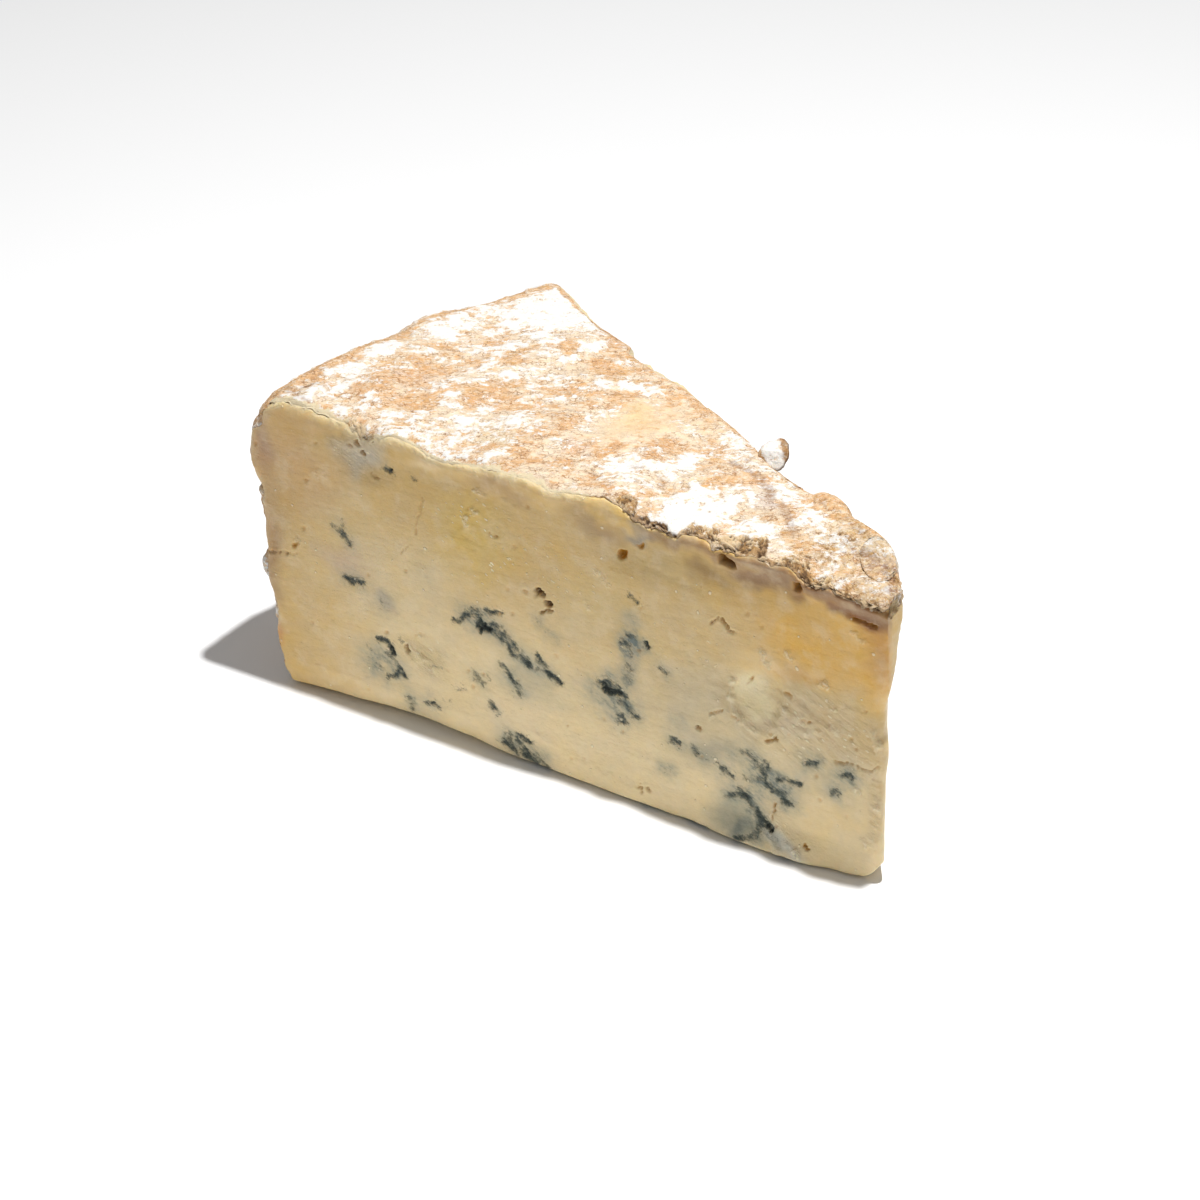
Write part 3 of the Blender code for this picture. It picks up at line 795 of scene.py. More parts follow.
# blue-grey haze round the mould: path, half width, reach, strength
frontHazes = [
    (((67.4, 21.4), (64.8, 21.6)), 0.6, 0.9, 0.5), (((66.4, 20.3), (64, 20.4)), 0.4, 0.8, 0.5),
    (((63, 20.6), (60.4, 19), (59.2, 17.8), (54, 16)), 0.35, 1.0, 0.55),
    (((60.4, 13.8), (58.4, 11.9)), 0.35, 0.9, 0.55), (((81.4, 9.8), (80.4, 8.4)), 1.2, 1.3, 0.42),
    (((83.6, 10), (83.4, 7.6)), 0.5, 0.9, 0.38), (((79.6, 10), (78.4, 8.4)), 0.4, 0.9, 0.35),
    (((81, 18.9), (80.8, 18.8)), 0.4, 1.4, 0.3), (((60.4, 3.4), (58, 2.8), (55, 1.8)), 0.7, 0.9, 0.6),
    (((43.6, 17.4), (42, 16)), 0.9, 1.0, 0.5), (((46.2, 15.8), (44.6, 14.4)), 0.9, 1.3, 0.36),
    (((42, 15.2), (40.4, 14.4), (42, 13)), 0.7, 0.9, 0.5), (((44, 18.6), (42.4, 17.8)), 0.4, 0.9, 0.3),
    (((40.6, 28.8), (40.4, 26.6)), 0.4, 0.9, 0.42), (((41.4, 25.2), (40.6, 24.4)), 0.5, 0.8, 0.7),
    (((40.6, 25.3), (38.6, 25.4)), 0.35, 0.6, 0.62),
    (((40.7, 24), (40.8, 21.8), (40.9, 19.6)), 0.3, 0.7, 0.6), (((36, 22.6), (35, 22.2)), 0.3, 0.8, 0.3),
    (((30.2, 11.7), (26.6, 10.5)), 0.25, 0.9, 0.42), (((33.6, 12.1), (33, 12)), 0.4, 0.8, 0.45),
    (((24.2, 13), (22.4, 13.9)), 0.5, 1.2, 0.4), (((20.6, 12.8), (19.4, 11.6)), 0.6, 0.9, 0.5),
    (((19.8, 10.6), (17, 9.8)), 0.7, 1.0, 0.72), (((17.6, 11.8), (15, 11.8)), 0.4, 0.9, 0.45),
    (((16, 8.5), (15.5, 8.4)), 0.5, 1.0, 0.45), (((24.6, 6.6), (22.2, 7.2)), 0.7, 0.9, 0.5),
    (((23.2, 8.8), (21.8, 8)), 0.5, 1.2, 0.4), (((20.8, 5.2), (19.6, 4.4)), 0.3, 0.8, 0.4),
    (((20.8, 3.4), (21.4, 1.4)), 0.8, 1.4, 0.5), (((19, 3), (17.6, 1.6)), 0.4, 0.9, 0.25),
    (((13, 15.6), (12, 16)), 0.4, 1.0, 0.6), (((7.6, 15.4), (6.6, 15.6)), 0.5, 1.0, 0.66),
    (((9, 12.6), (8.6, 12.4)), 0.4, 0.8, 0.55), (((35.2, 7.2), (34, 7.4)), 0.5, 0.8, 0.4),
    (((55.2, 24), (52.6, 22.2)), 0.3, 0.7, 0.35), (((33.4, 15.6), (33, 15.4)), 0.4, 0.7, 0.35),
    (((87.8, 28.6), (86.4, 27)), 0.35, 0.9, 0.35), (((87, 21.2), (85.2, 21)), 0.4, 0.9, 0.4),
    (((73.6, 5.2), (72.4, 5)), 0.4, 0.9, 0.4), (((76.9, 4.6), (76.2, 4)), 0.4, 0.9, 0.4),
    (((65.8, 11.8), (64.8, 11.2)), 0.4, 0.8, 0.35), (((63, 8), (62.4, 7.4)), 0.2, 0.5, 0.25),
]
# holes and cracks: path, half width, depth, how brown, how dark
frontPits = [
    (((55.3, 28.2), (55.6, 27.7)), 0.15, 0.5, 0.8, 0.9),
    (((54.8, 25.5), (53.8, 26), (53, 26.4)), 0.24, 0.8, 1, 0.6),
    (((57.8, 28.1), (57, 28)), 0.18, 0.3, 0.6, 0.1), (((6.8, 39.5), (3.6, 39.3)), 0.22, 0.6, 0.9, 0.4),
    (((28, 32.3), (27.4, 32.8), (26.9, 33.1)), 0.1, 0.5, 1, 0.5),
    (((26.3, 33.2), (26, 32.7), (25.5, 32.1)), 0.18, 0.7, 1, 0.3),
    (((25.5, 32), (24.9, 31.9), (24.3, 32.05)), 0.1, 0.5, 1, 0.4),
    (((77.2, 13.1), (77, 12.3)), 0.24, 0.4, 0.8, 0.75), (((39.6, 24.4), (39.2, 24.3)), 0.14, 0.2, 0.6, 0.7),
    (((19.5, 16.9), (18.8, 17.1), (18.3, 17.6), (17.9, 17.9)), 0.18, 0.5, 0.9, 0.1),
    (((18.4, 17.6), (17.7, 17.3)), 0.16, 0.4, 0.9, 0.3),
    (((17.6, 7.7), (17.7, 7), (17.85, 6.2)), 0.19, 0.5, 1, 0.4),
    (((18.3, 5.8), (18.3, 4.7)), 0.14, 0.3, 0.9, 0.5),
    (((27.9, 18.5), (27, 18.9), (26.3, 19.5)), 0.14, 0.4, 0.8, 0.1),
    (((24.7, 19.4), (23.6, 18.6)), 0.11, 0.3, 0.7, 0.2),
    (((22.4, 24.8), (22, 25.4), (21.5, 26.1)), 0.14, 0.4, 0.8, 0.1),
    (((16.9, 25.1), (15.6, 24.8)), 0.14, 0.3, 0.7, 0.1), (((14, 21.6), (12.9, 22)), 0.14, 0.3, 0.7, 0.0),
    (((39.9, 2.9), (38.7, 3.1)), 0.11, 0.3, 0.9, 0.4), (((38.9, 3.6), (38.7, 2)), 0.11, 0.3, 0.9, 0.4),
    (((37.8, 3.5), (37.5, 3)), 0.18, 0.3, 0.9, 0.6), (((63, 35.4), (61.8, 35.2)), 0.16, 0.4, 0.7, 0.0),
    (((95.9, 23.5), (95.4, 23.8)), 0.3, 0.4, 1, 0.35),
    (((100.8, 21), (98.4, 21.7), (97, 21.9)), 0.14, 0.6, 0.8, 0.7),
    (((97, 21.9), (95.4, 22.4)), 0.08, 0.3, 0.5, 0.2),
    (((74, 37.4), (74.4, 35.4), (75, 33.6), (75.1, 31.4)), 0.09, 0.25, 0.35, 0.1),
    (((77.8, 27.9), (77.1, 28.6), (76.4, 29.2)), 0.08, 0.2, 0.6, 0.3),
    (((9, 17.2), (6, 17.6), (3.4, 17.3), (2.4, 18.6)), 0.12, 0.4, 0.5, 0.1),
    (((75.7, 15), (75, 15.6), (73.8, 15.8)), 0.14, 0.3, 0.4, 0.0),
    (((84.8, 43), (84.4, 42.6)), 0.3, 0.5, 0.9, 0.6), (((83.9, 41.8), (83.5, 41.4)), 0.28, 0.5, 0.8, 0.6),
    (((86, 42.4), (85.6, 42)), 0.2, 0.4, 0.7, 0.5), (((82.6, 39), (81.2, 38.4)), 0.2, 0.3, 0.3, 0.2),
    (((30.2, 15.8), (30.1, 15.4)), 0.22, 0.4, 0.95, 0.7), (((30, 15.5), (29.6, 15.2)), 0.16, 0.3, 0.7, 0.4),
    (((52.8, 19.4), (52.2, 19.2)), 0.12, 0.2, 0.6, 0.1), (((50.8, 9), (50.6, 8.9)), 0.1, 0.2, 0.7, 0.4),
    (((5.4, 26), (4.6, 26.3)), 0.14, 0.3, 0.6, 0.0), (((6.6, 20.2), (5.8, 20.3)), 0.12, 0.3, 0.6, 0.2),
]
# larger holes with corners: outline (along, height), depth, how dark
frontHoles = [
    (((42.8, 38.3), (42.3, 39.0), (41.2, 39.3), (41.3, 38.0), (41.9, 37.6), (42.7, 37.9)), 1.0, 0.2),
    (((39.8, 40.7), (39.2, 40.6), (38.8, 41.2), (38.5, 41.0), (38.8, 40.2), (39.3, 40.1)), 0.8, 0.2),
    (((27.3, 42.7), (26.6, 43.0), (25.9, 42.8), (24.8, 42.4), (24.4, 41.5), (24.9, 41.4), (26.1, 41.5),
        (27.1, 41.6)), 1.5, 0.8),
    (((16.0, 42.1), (15.2, 42.4), (14.6, 41.6), (14.8, 41.0), (15.7, 41.1)), 1.2, 0.7),
    (((55.9, 28.9), (55.2, 29.2), (54.3, 28.6), (54.1, 28.0), (54.9, 28.1), (55.5, 28.4)), 1.3, 1.0),
    (((54.3, 27.5), (53.4, 27.7), (52.8, 27.2), (53.2, 26.7), (54.0, 26.9)), 1.0, 0.9),
    (((13.3, 3.2), (12.9, 2.9), (12.2, 2.0), (12.7, 1.9), (13.4, 2.4)), 0.6, 0.2),
]
# knife drags, folds and standing flakes: path, half width, step (raised where positive), how pale
frontFolds = [
    (((20.6, 30.2), (20, 29.9)), 0.3, 0.25, 0.9), (((20, 28.9), (19.4, 28.3)), 0.3, 0.2, 0.8),
    (((16.6, 31.2), (15.8, 30.6)), 0.25, 0.2, 0.7), (((17.3, 22.9), (16.6, 22.7)), 0.24, 0.2, 1),
    (((10.9, 28.5), (10.5, 28.2)), 0.25, 0.25, 0.9), (((10, 22.4), (9, 22), (8.4, 21.6)), 0.24, 0.2, 0.7),
    (((15.5, 1.6), (15.2, 1.2)), 0.25, 0.3, 1), (((9.8, 24.8), (9.5, 24.9)), 0.2, 0.2, 0.8),
    (((77, 13.2), (75, 12), (72.8, 10.5)), 0.16, 0.24, 0.5),
    (((3.6, 23.4), (2.8, 22.2), (3, 21)), 0.45, 0.4, 0.6), (((38, 37.6), (30, 36.8)), 0.3, -0.14, 0),
    (((97, 4.6), (88, 4.8), (84, 5), (80, 6.8), (77, 8)), 0.5, 0.1, 0),
    (((56, 6), (48, 3.4), (40, 2)), 0.35, 0.14, 0), (((35, 26), (27, 22.6), (20, 20)), 0.35, 0.12, 0),
    (((24.6, 24.6), (25, 22.6), (24.7, 20.6), (23.4, 18.8), (21.4, 17.7)), 0.22, 0.5, 0.75),
    (((18.3, 5.6), (18.7, 3), (17.6, 0)), 0.3, 0.3, 0.3), (((66.8, 36.6), (66.9, 35.2)), 0.34, 0.32, 0.9),
    (((65.8, 38), (65.4, 37.8)), 0.25, 0.25, 0.7), (((65, 41.2), (64, 41)), 0.28, 0.3, 0.7),
    (((92, 36), (90, 36.2)), 0.34, 0.14, 0.3), (((6.4, 37.2), (5.6, 36.6)), 0.4, 0.3, 0.4),
    (((44.8, 33.8), (44.2, 33.2)), 0.36, 0.22, 0.4),
    (((17.6, 22.7), (15.6, 22), (14, 21.6)), 0.2, 0.22, 0.6),
    (((14, 20), (11.8, 20.8), (10, 22)), 0.22, 0.2, 0.5), (((20, 28.4), (19, 28.9)), 0.2, 0.2, 0.6),
    (((11.2, 28.2), (10.6, 28.6)), 0.24, 0.25, 0.7), (((4.2, 6.4), (3.8, 6)), 0.28, 0.25, 0.9),
    (((2.6, 12.2), (2.2, 12)), 0.26, 0.25, 0.9), (((5.6, 13.8), (5.4, 13.6)), 0.16, 0.2, 0.8),
    (((14.8, 1.4), (14.4, 0.6)), 0.3, 0.3, 0.9), (((17, 4), (16, 1.6)), 0.5, 0.16, 0.3),
    (((88, 3), (70, 2.6), (62, 3.6)), 0.5, 0.14, 0), (((95.6, 24.6), (95.2, 24.2)), 0.3, 0.2, 0.5),
    (((27.9, 17.9), (27.4, 18.2)), 0.2, 0.2, 0.6), (((60.8, 41), (59, 40.6)), 0.3, 0.12, 0.1),
    (((46, 34.4), (45, 34.6)), 0.2, 0.16, 0.5), (((47.6, 28.9), (47.4, 28.7)), 0.18, 0.16, 0.8),
]


def randomVeins(dice, count, across, up):
    # branching veins for the cuts that lie away from the front
    strokes = []
    for _ in range(count):
        place = np.array([dice.uniform(*across), dice.uniform(*up)])
        heading = dice.uniform(0, math.tau)
        width = dice.uniform(0.2, 0.5)
        for _ in range(dice.integers(1, 5)):
            path = [tuple(place)]
            for _ in range(dice.integers(1, 4)):
                heading += dice.normal(0, 0.5)
                place = place + np.array(
                    [math.cos(heading), math.sin(heading) * 0.7]
                ) * dice.uniform(0.8, 1.8)
                path.append(tuple(place))
            strokes.append((tuple(path), width, dice.uniform(0.6, 1.0)))
            place = np.array(path[dice.integers(0, len(path))]) + dice.normal(0, 0.7, 2)
            heading += dice.choice([-0.5, 0.4, 0.9])
            width *= 0.85
    return strokes


def hazesRound(dice, strokes):
    # every second stroke gets a haze
    return [(path, width, dice.uniform(0.7, 1.3), dice.uniform(0.3, 0.6)) for path, width, _ in strokes[::2]]


def buildPaste(material):
    grid, faces, sides = splitFront(*boxGrid(paste["divisions"]))
    for axis, amount in enumerate(paste["closeness"]):
        grid[:, axis] += amount * np.sin(math.pi * grid[:, axis]) / math.pi
    length, height = wedge["drumRadius"], wedge["height"]
    x, z = grid[:, 0] * length / 2, grid[:, 2] * height / 2
    width = wedgeWidth(0.5 - x / length)
    y = grid[:, 1] * width / 2
    plain = plainWedge(x, y, z)
    points = unevenWedge(plain)
    normals = outwardNormals(points, faces)

    bulge = np.clip(points @ frontOutward, -4, 4)
    along = points @ frontAlong + paste["slant"][0] * bulge
    backward = plain @ backAlong
    level = points[:, 2] + paste["slant"][1] * bulge
    fromFront, fromBack = cutDistances(plain)
    onFront = fade(fromFront, 1.6)
    onBack = fade(fromBack, 1.6)
    onBase = fade(plain[:, 2], 0.8)

    # how far each place is past the rind's border, negative where the rind covers it
    belowTop = height / 2 - z
    inFromFront, inFromBack = width / 2 + y, width / 2 - y
    fromRim, fromPoint = x + length / 2, length / 2 - x
    near = 1e-3
    depthFront = np.where(inFromFront < near, belowTop, -inFromFront)
    depthBack = np.where(inFromBack < near, belowTop, -inFromBack)
    sheetAlong, sheetLevel = fromPoint, z + height / 2
    topReach = np.where(
        inFromFront < inFromBack,
        depthFront - borderDepth("front", sheetAlong),
        depthBack - borderDepth("back", sheetAlong),
    )
    onEnd = (inFromFront > near) & (inFromBack > near) & (belowTop > near)
    topReach = np.where(onEnd, belowTop - rindBorder["tipDrop"], topReach)
    rimDepthFront = np.where(fromRim < near, -inFromFront, fromRim)
    rimDepthBack = np.where(fromRim < near, -inFromBack, fromRim)
    rimReach = np.where(
        inFromFront < inFromBack,
        rimDepthFront - borderDepth("rimFront", sheetLevel),
        rimDepthBack - borderDepth("rimBack", sheetLevel),
    )
    rimReach = np.where((belowTop < near) & (fromRim > near), 9.0, rimReach)
    covered = np.minimum(topReach, rimReach)

    # tones: riper towards the rind, then the front's patches, some of which are painted shade under the
    # crust
    toRind = np.minimum(belowTop, fromRim * 1.4)
    drift = layeredNoise(plain, 14.0, 5)
    ripe = easeIn(1.0 - toRind / 46.0 + 0.10 * drift, 0.25, 0.95)[:, None]
    tint = np.array(paste["base"]) * (1 - ripe) + np.array(paste["ripe"]) * ripe
    warp = noiseStack(plain, 6.0, (7, 8))
    zoneAlong, zoneUp = along + 1.8 * warp[:, 0], level + 1.8 * warp[:, 1]

    def zone(centre, halfSizes):
        return spot(zoneAlong, zoneUp, centre, halfSizes) * onFront

    for centre, halfSizes, colour, strength in frontTintsAndShade:
        tint = blended(tint, colour, np.clip(strength * zone(centre, halfSizes), 0, 1))
    # painted shade: the paste just under the crust's overhanging edge near the point is pulled towards a
    # dark brown tone
    crustShadeBand = fade(topReach - 1.0, 2.2) * easeIn(topReach, -0.3, 0.3) * fade(along - 34, 8.0) * onFront
    tint = blended(tint, paste["underCrustShadeTone"], 0.8 * crustShadeBand)
    lip = easeIn(-covered, -2.6, -0.2) * fade(50 - along, 6.0) * easeIn(level, height - 5, height - 1)
    tint = blended(tint, paste["lipTone"], 0.85 * lip)
    rough = 1.2 * zone((13, 21), (19, 9)) + zone((73.5, 12.5), (7, 6))
    rough = np.clip(rough + 0.9 * zone((84, 41), (6, 5)) + 0.5 * zone((17, 4), (4, 5)), 0, 1)
    rough *= 1 - zone((20.6, 23), (4.6, 5.6))
    rough = np.maximum(rough, 0.55 * lip)
    nearPoint = 0.8 * fade(np.abs(along - 2.6), 1.8) * easeIn(level, 3, 9) * fade(level - 15, 6.0)
    rough = np.maximum(rough, nearPoint * onFront)
    pitted = 1.6 * zone((66, 34), (9.5, 10.5)) + 0.6 * zone((52, 33), (14, 7))
    pitted = np.clip(pitted + 0.5 * zone((30, 28), (12, 6)), 0, 1)

    # mould, with places shifted a little so that its edges wander
    wander = 0.26 * noiseStack(plain, 1.5, (61, 71), 5, 0.68)
    dark, haze = np.zeros(len(points)), np.zeros(len(points))
    dice = np.random.default_rng(4)
    backVeins = randomVeins(dice, 30, (12, 94), (2, 36))
    baseVeins = randomVeins(dice, 16, (-90, -12), (-15, 15))
    backHazes = hazesRound(dice, backVeins)
    baseHazes = hazesRound(dice, baseVeins)
    cuts = [
        (onFront > 0.02, along, level, darkVeins, blackVeins, softVeins, frontHazes),
        (onBack > 0.02, backward, level, backVeins, backVeins[::7], [], backHazes),
        (onBase > 0.02, plain[:, 0], plain[:, 1], baseVeins, baseVeins[::7], [], baseHazes),
    ]
    for chosen, across, up, veins, blacks, softs, hazes in cuts:
        a, b = across[chosen] + wander[chosen, 0], up[chosen] + wander[chosen, 1]
        made = 0.8 * strokeMask(a, b, veins, 0.42, 0.2)
        made = np.maximum(made, 0.46 * strokeMask(a, b, veins, 0.9, 0.4))
        made *= np.clip(0.94 + 0.3 * layeredNoise(plain[chosen], 1.2, 63, 2), 0.6, 1.12)
        made = np.maximum(made, strokeMask(a, b, blacks, 0.3, 0.08))
        if softs:
            made = np.maximum(made, 0.5 * strokeMask(a, b, softs, 0.7, 0.1))
        dark[chosen] = np.maximum(dark[chosen], made)
        haze[chosen] = np.maximum(haze[chosen], hazeMask(a, b, hazes))

    # relief, outward along the surface
    relief = 0.09 * layeredNoise(plain, 9.0, 21)
    streaks = np.stack([along * 0.14 + level * 0.05, plain[:, 1] * 0.2, level + along * 0.08], axis=1)
    relief += 0.02 * layeredNoise(streaks, 0.9, 23, 3) * np.maximum(onFront, onBack)
    rakedAlong, rakedUp = 0.88 * along + 0.47 * level, 0.88 * level - 0.47 * along
    raked = np.stack([0.3 * rakedAlong, 0.5 * plain[:, 1], rakedUp], axis=1)
    torn = np.abs(layeredNoise(raked, 1.7, 27, 4, 0.6))
    relief -= rough * (0.28 * torn - 0.1)
    relief += 0.05 * pitted * layeredNoise(plain, 0.8, 29, 2) + 0.22 * lip * layeredNoise(plain, 1.4, 31, 3)
    relief -= 0.16 * easeIn(dark, 0.3, 0.9) + 0.30 * easeIn(dark, 0.84, 1.0) + 0.05 * haze

    brown, brownDark, pale = np.zeros(len(points)), np.zeros(len(points)), np.zeros(len(points))
    front = onFront > 0.02
    frontAcross, frontUp = along[front] + 0.8 * wander[front, 0], level[front] + 0.8 * wander[front, 1]
    jagged = 0.34 * layeredNoise(plain[front], 0.9, 91, 3)
    for path, halfWidth, depth, brownness, darkness in frontPits:
        reach = pathDistance(frontAcross, frontUp, path) - halfWidth + jagged * min(1.0, 2.2 * halfWidth)
        hole = 1 - easeIn(reach, -0.2, 0.12)
        relief[front] -= depth * (1 - easeIn(reach, -0.8 * halfWidth - 0.1, 0.12)) * onFront[front]
        relief[front] += 0.04 * fade(np.abs(reach - 0.28), 0.3)
        brownDark[front] = np.where(hole * brownness > brown[front], darkness, brownDark[front])
        brown[front] = np.maximum(brown[front], hole * brownness)
    for corners, depth, darkness in frontHoles:
        across, up = along[front] + 0.35 * wander[front, 0], level[front] + 0.35 * wander[front, 1]
        reach = outlineReach(across, up, corners)
        hole = 1 - easeIn(reach, -0.12, 0.1)
        relief[front] -= depth * (1 - easeIn(reach, -0.4, 0.1)) * onFront[front]
        relief[front] += 0.05 * fade(np.abs(reach - 0.25), 0.25)
        brownDark[front] = np.where(hole > brown[front], darkness + 0.35 * jagged, brownDark[front])
        brown[front] = np.maximum(brown[front], hole)
    for path, halfWidth, step, paleness in frontFolds:
        reach = pathDistance(frontAcross, frontUp, path) - halfWidth + 1.3 * jagged
        relief[front] += 0.55 * step * (1 - easeIn(reach, -halfWidth, 0.5)) * onFront[front]
        pale[front] = np.maximum(pale[front], 0.8 * paleness * (1 - easeIn(reach, -0.2, 0.3)))

    # the shell-shaped chip, with a sharper wall on its right and a soft one on its left
    chipAlong, chipUp = (along - 20.4) / 3.4, (level - 22.6) / 5.6
    chip = np.hypot(chipAlong + 0.3 * chipUp, chipUp)
    chipDepth = 0.45 * (1 - easeIn(chip + 0.12 * warp[:, 0], 0.6, 1.0))
    relief -= onFront * chipDepth * easeIn(-chipAlong, -1.4, 0.9)

    # scattered small pits on every cut
    tiny, _, tinyTone = lumpNoise(plain, 3.3, 81)
    onCut = np.maximum.reduce([onFront, onBack, onBase])
    smallPit = fade(tiny, 0.09 + 0.07 * tinyTone) * (tinyTone > 0.62) * onCut
    relief -= 0.28 * smallPit
    brown = np.maximum(brown, 0.4 * smallPit)

    relief *= easeIn(covered, -0.1, 0.5)
    corner = spot(along, level, (100, 45), (6, 5)) * onFront
    relief -= paste["underRind"] * (1 - 0.75 * corner) * easeIn(-covered, 0.05, 0.8)
    relief = np.where(grid[:, 2] < -0.9999, np.minimum(relief, 0.0) * 0.4, relief)
    points = softened(points + normals * relief[:, None])

    masks = {
        "rough": rough, "pitted": pitted, "dark": dark, "haze": haze,
        "brown": brown, "brownDark": brownDark, "pale": pale,
    }
    charts = pasteCharts(grid, faces, sides)
    return makePiece("paste", insideCad(points), faces, material, masks, charts, {"tint": tint})


def softened(points):
    # rounds the point's lower corner and the front cut's upper corner at the rim
    radius = paste["footRadius"]
    along = points @ frontAlong - 1.7
    away = np.stack([np.maximum(radius - along, 0), np.maximum(radius - points[:, 2], 0)], axis=1)
    reach = np.hypot(away[:, 0], away[:, 1])
    shrink = np.where(reach > radius, radius / np.maximum(reach, 1e-6), 1.0)
    moved = away * (1 - shrink)[:, None]
    points = points + frontAlong * moved[:, :1] + np.array([0, 0, 1.0]) * moved[:, 1:]
    shoulder = spot(points @ frontAlong, points[:, 2], (104, 46.5), (6, 6))
    shoulder *= fade(np.abs(points @ frontOutward), 9.0)
    return points - shoulder[:, None] * (0.8 * frontAlong + np.array([0, 0, 0.9]))


def insideCad(points):
    low, high = (np.array(corner) / metresPerMm - drumAxis for corner in cadBox)
    return np.clip(points, low, high)


def pasteCharts(grid, faces, sides):
    # each side lies flat in its own field of a square 118 mm wide; hidden sides get small fields
    fields = {  # side: (corner, size in mm, which grid axes run across and up)
        2: ((1, 68), (104, 48), 0, 2), 3: ((1, 18.5), (104, 48), 0, 2), 1: ((106.5, 68), (10.5, 48), 1, 2),
        4: ((1, 1), (48, 16), 0, 1), 5: ((51, 1), (30, 14), 0, 1), 0: ((83, 1), (18, 14), 1, 2),
    }
    charts = np.zeros((len(faces), 3, 2))
    for side, (corner, size, acrossAxis, upAxis) in fields.items():
        chosen = sides == side
        place = grid[faces[chosen]]
        charts[chosen, :, 0] = corner[0] + (place[..., acrossAxis] + 1) / 2 * size[0]
        charts[chosen, :, 1] = corner[1] + (place[..., upAxis] + 1) / 2 * size[1]
    return charts / 118.0


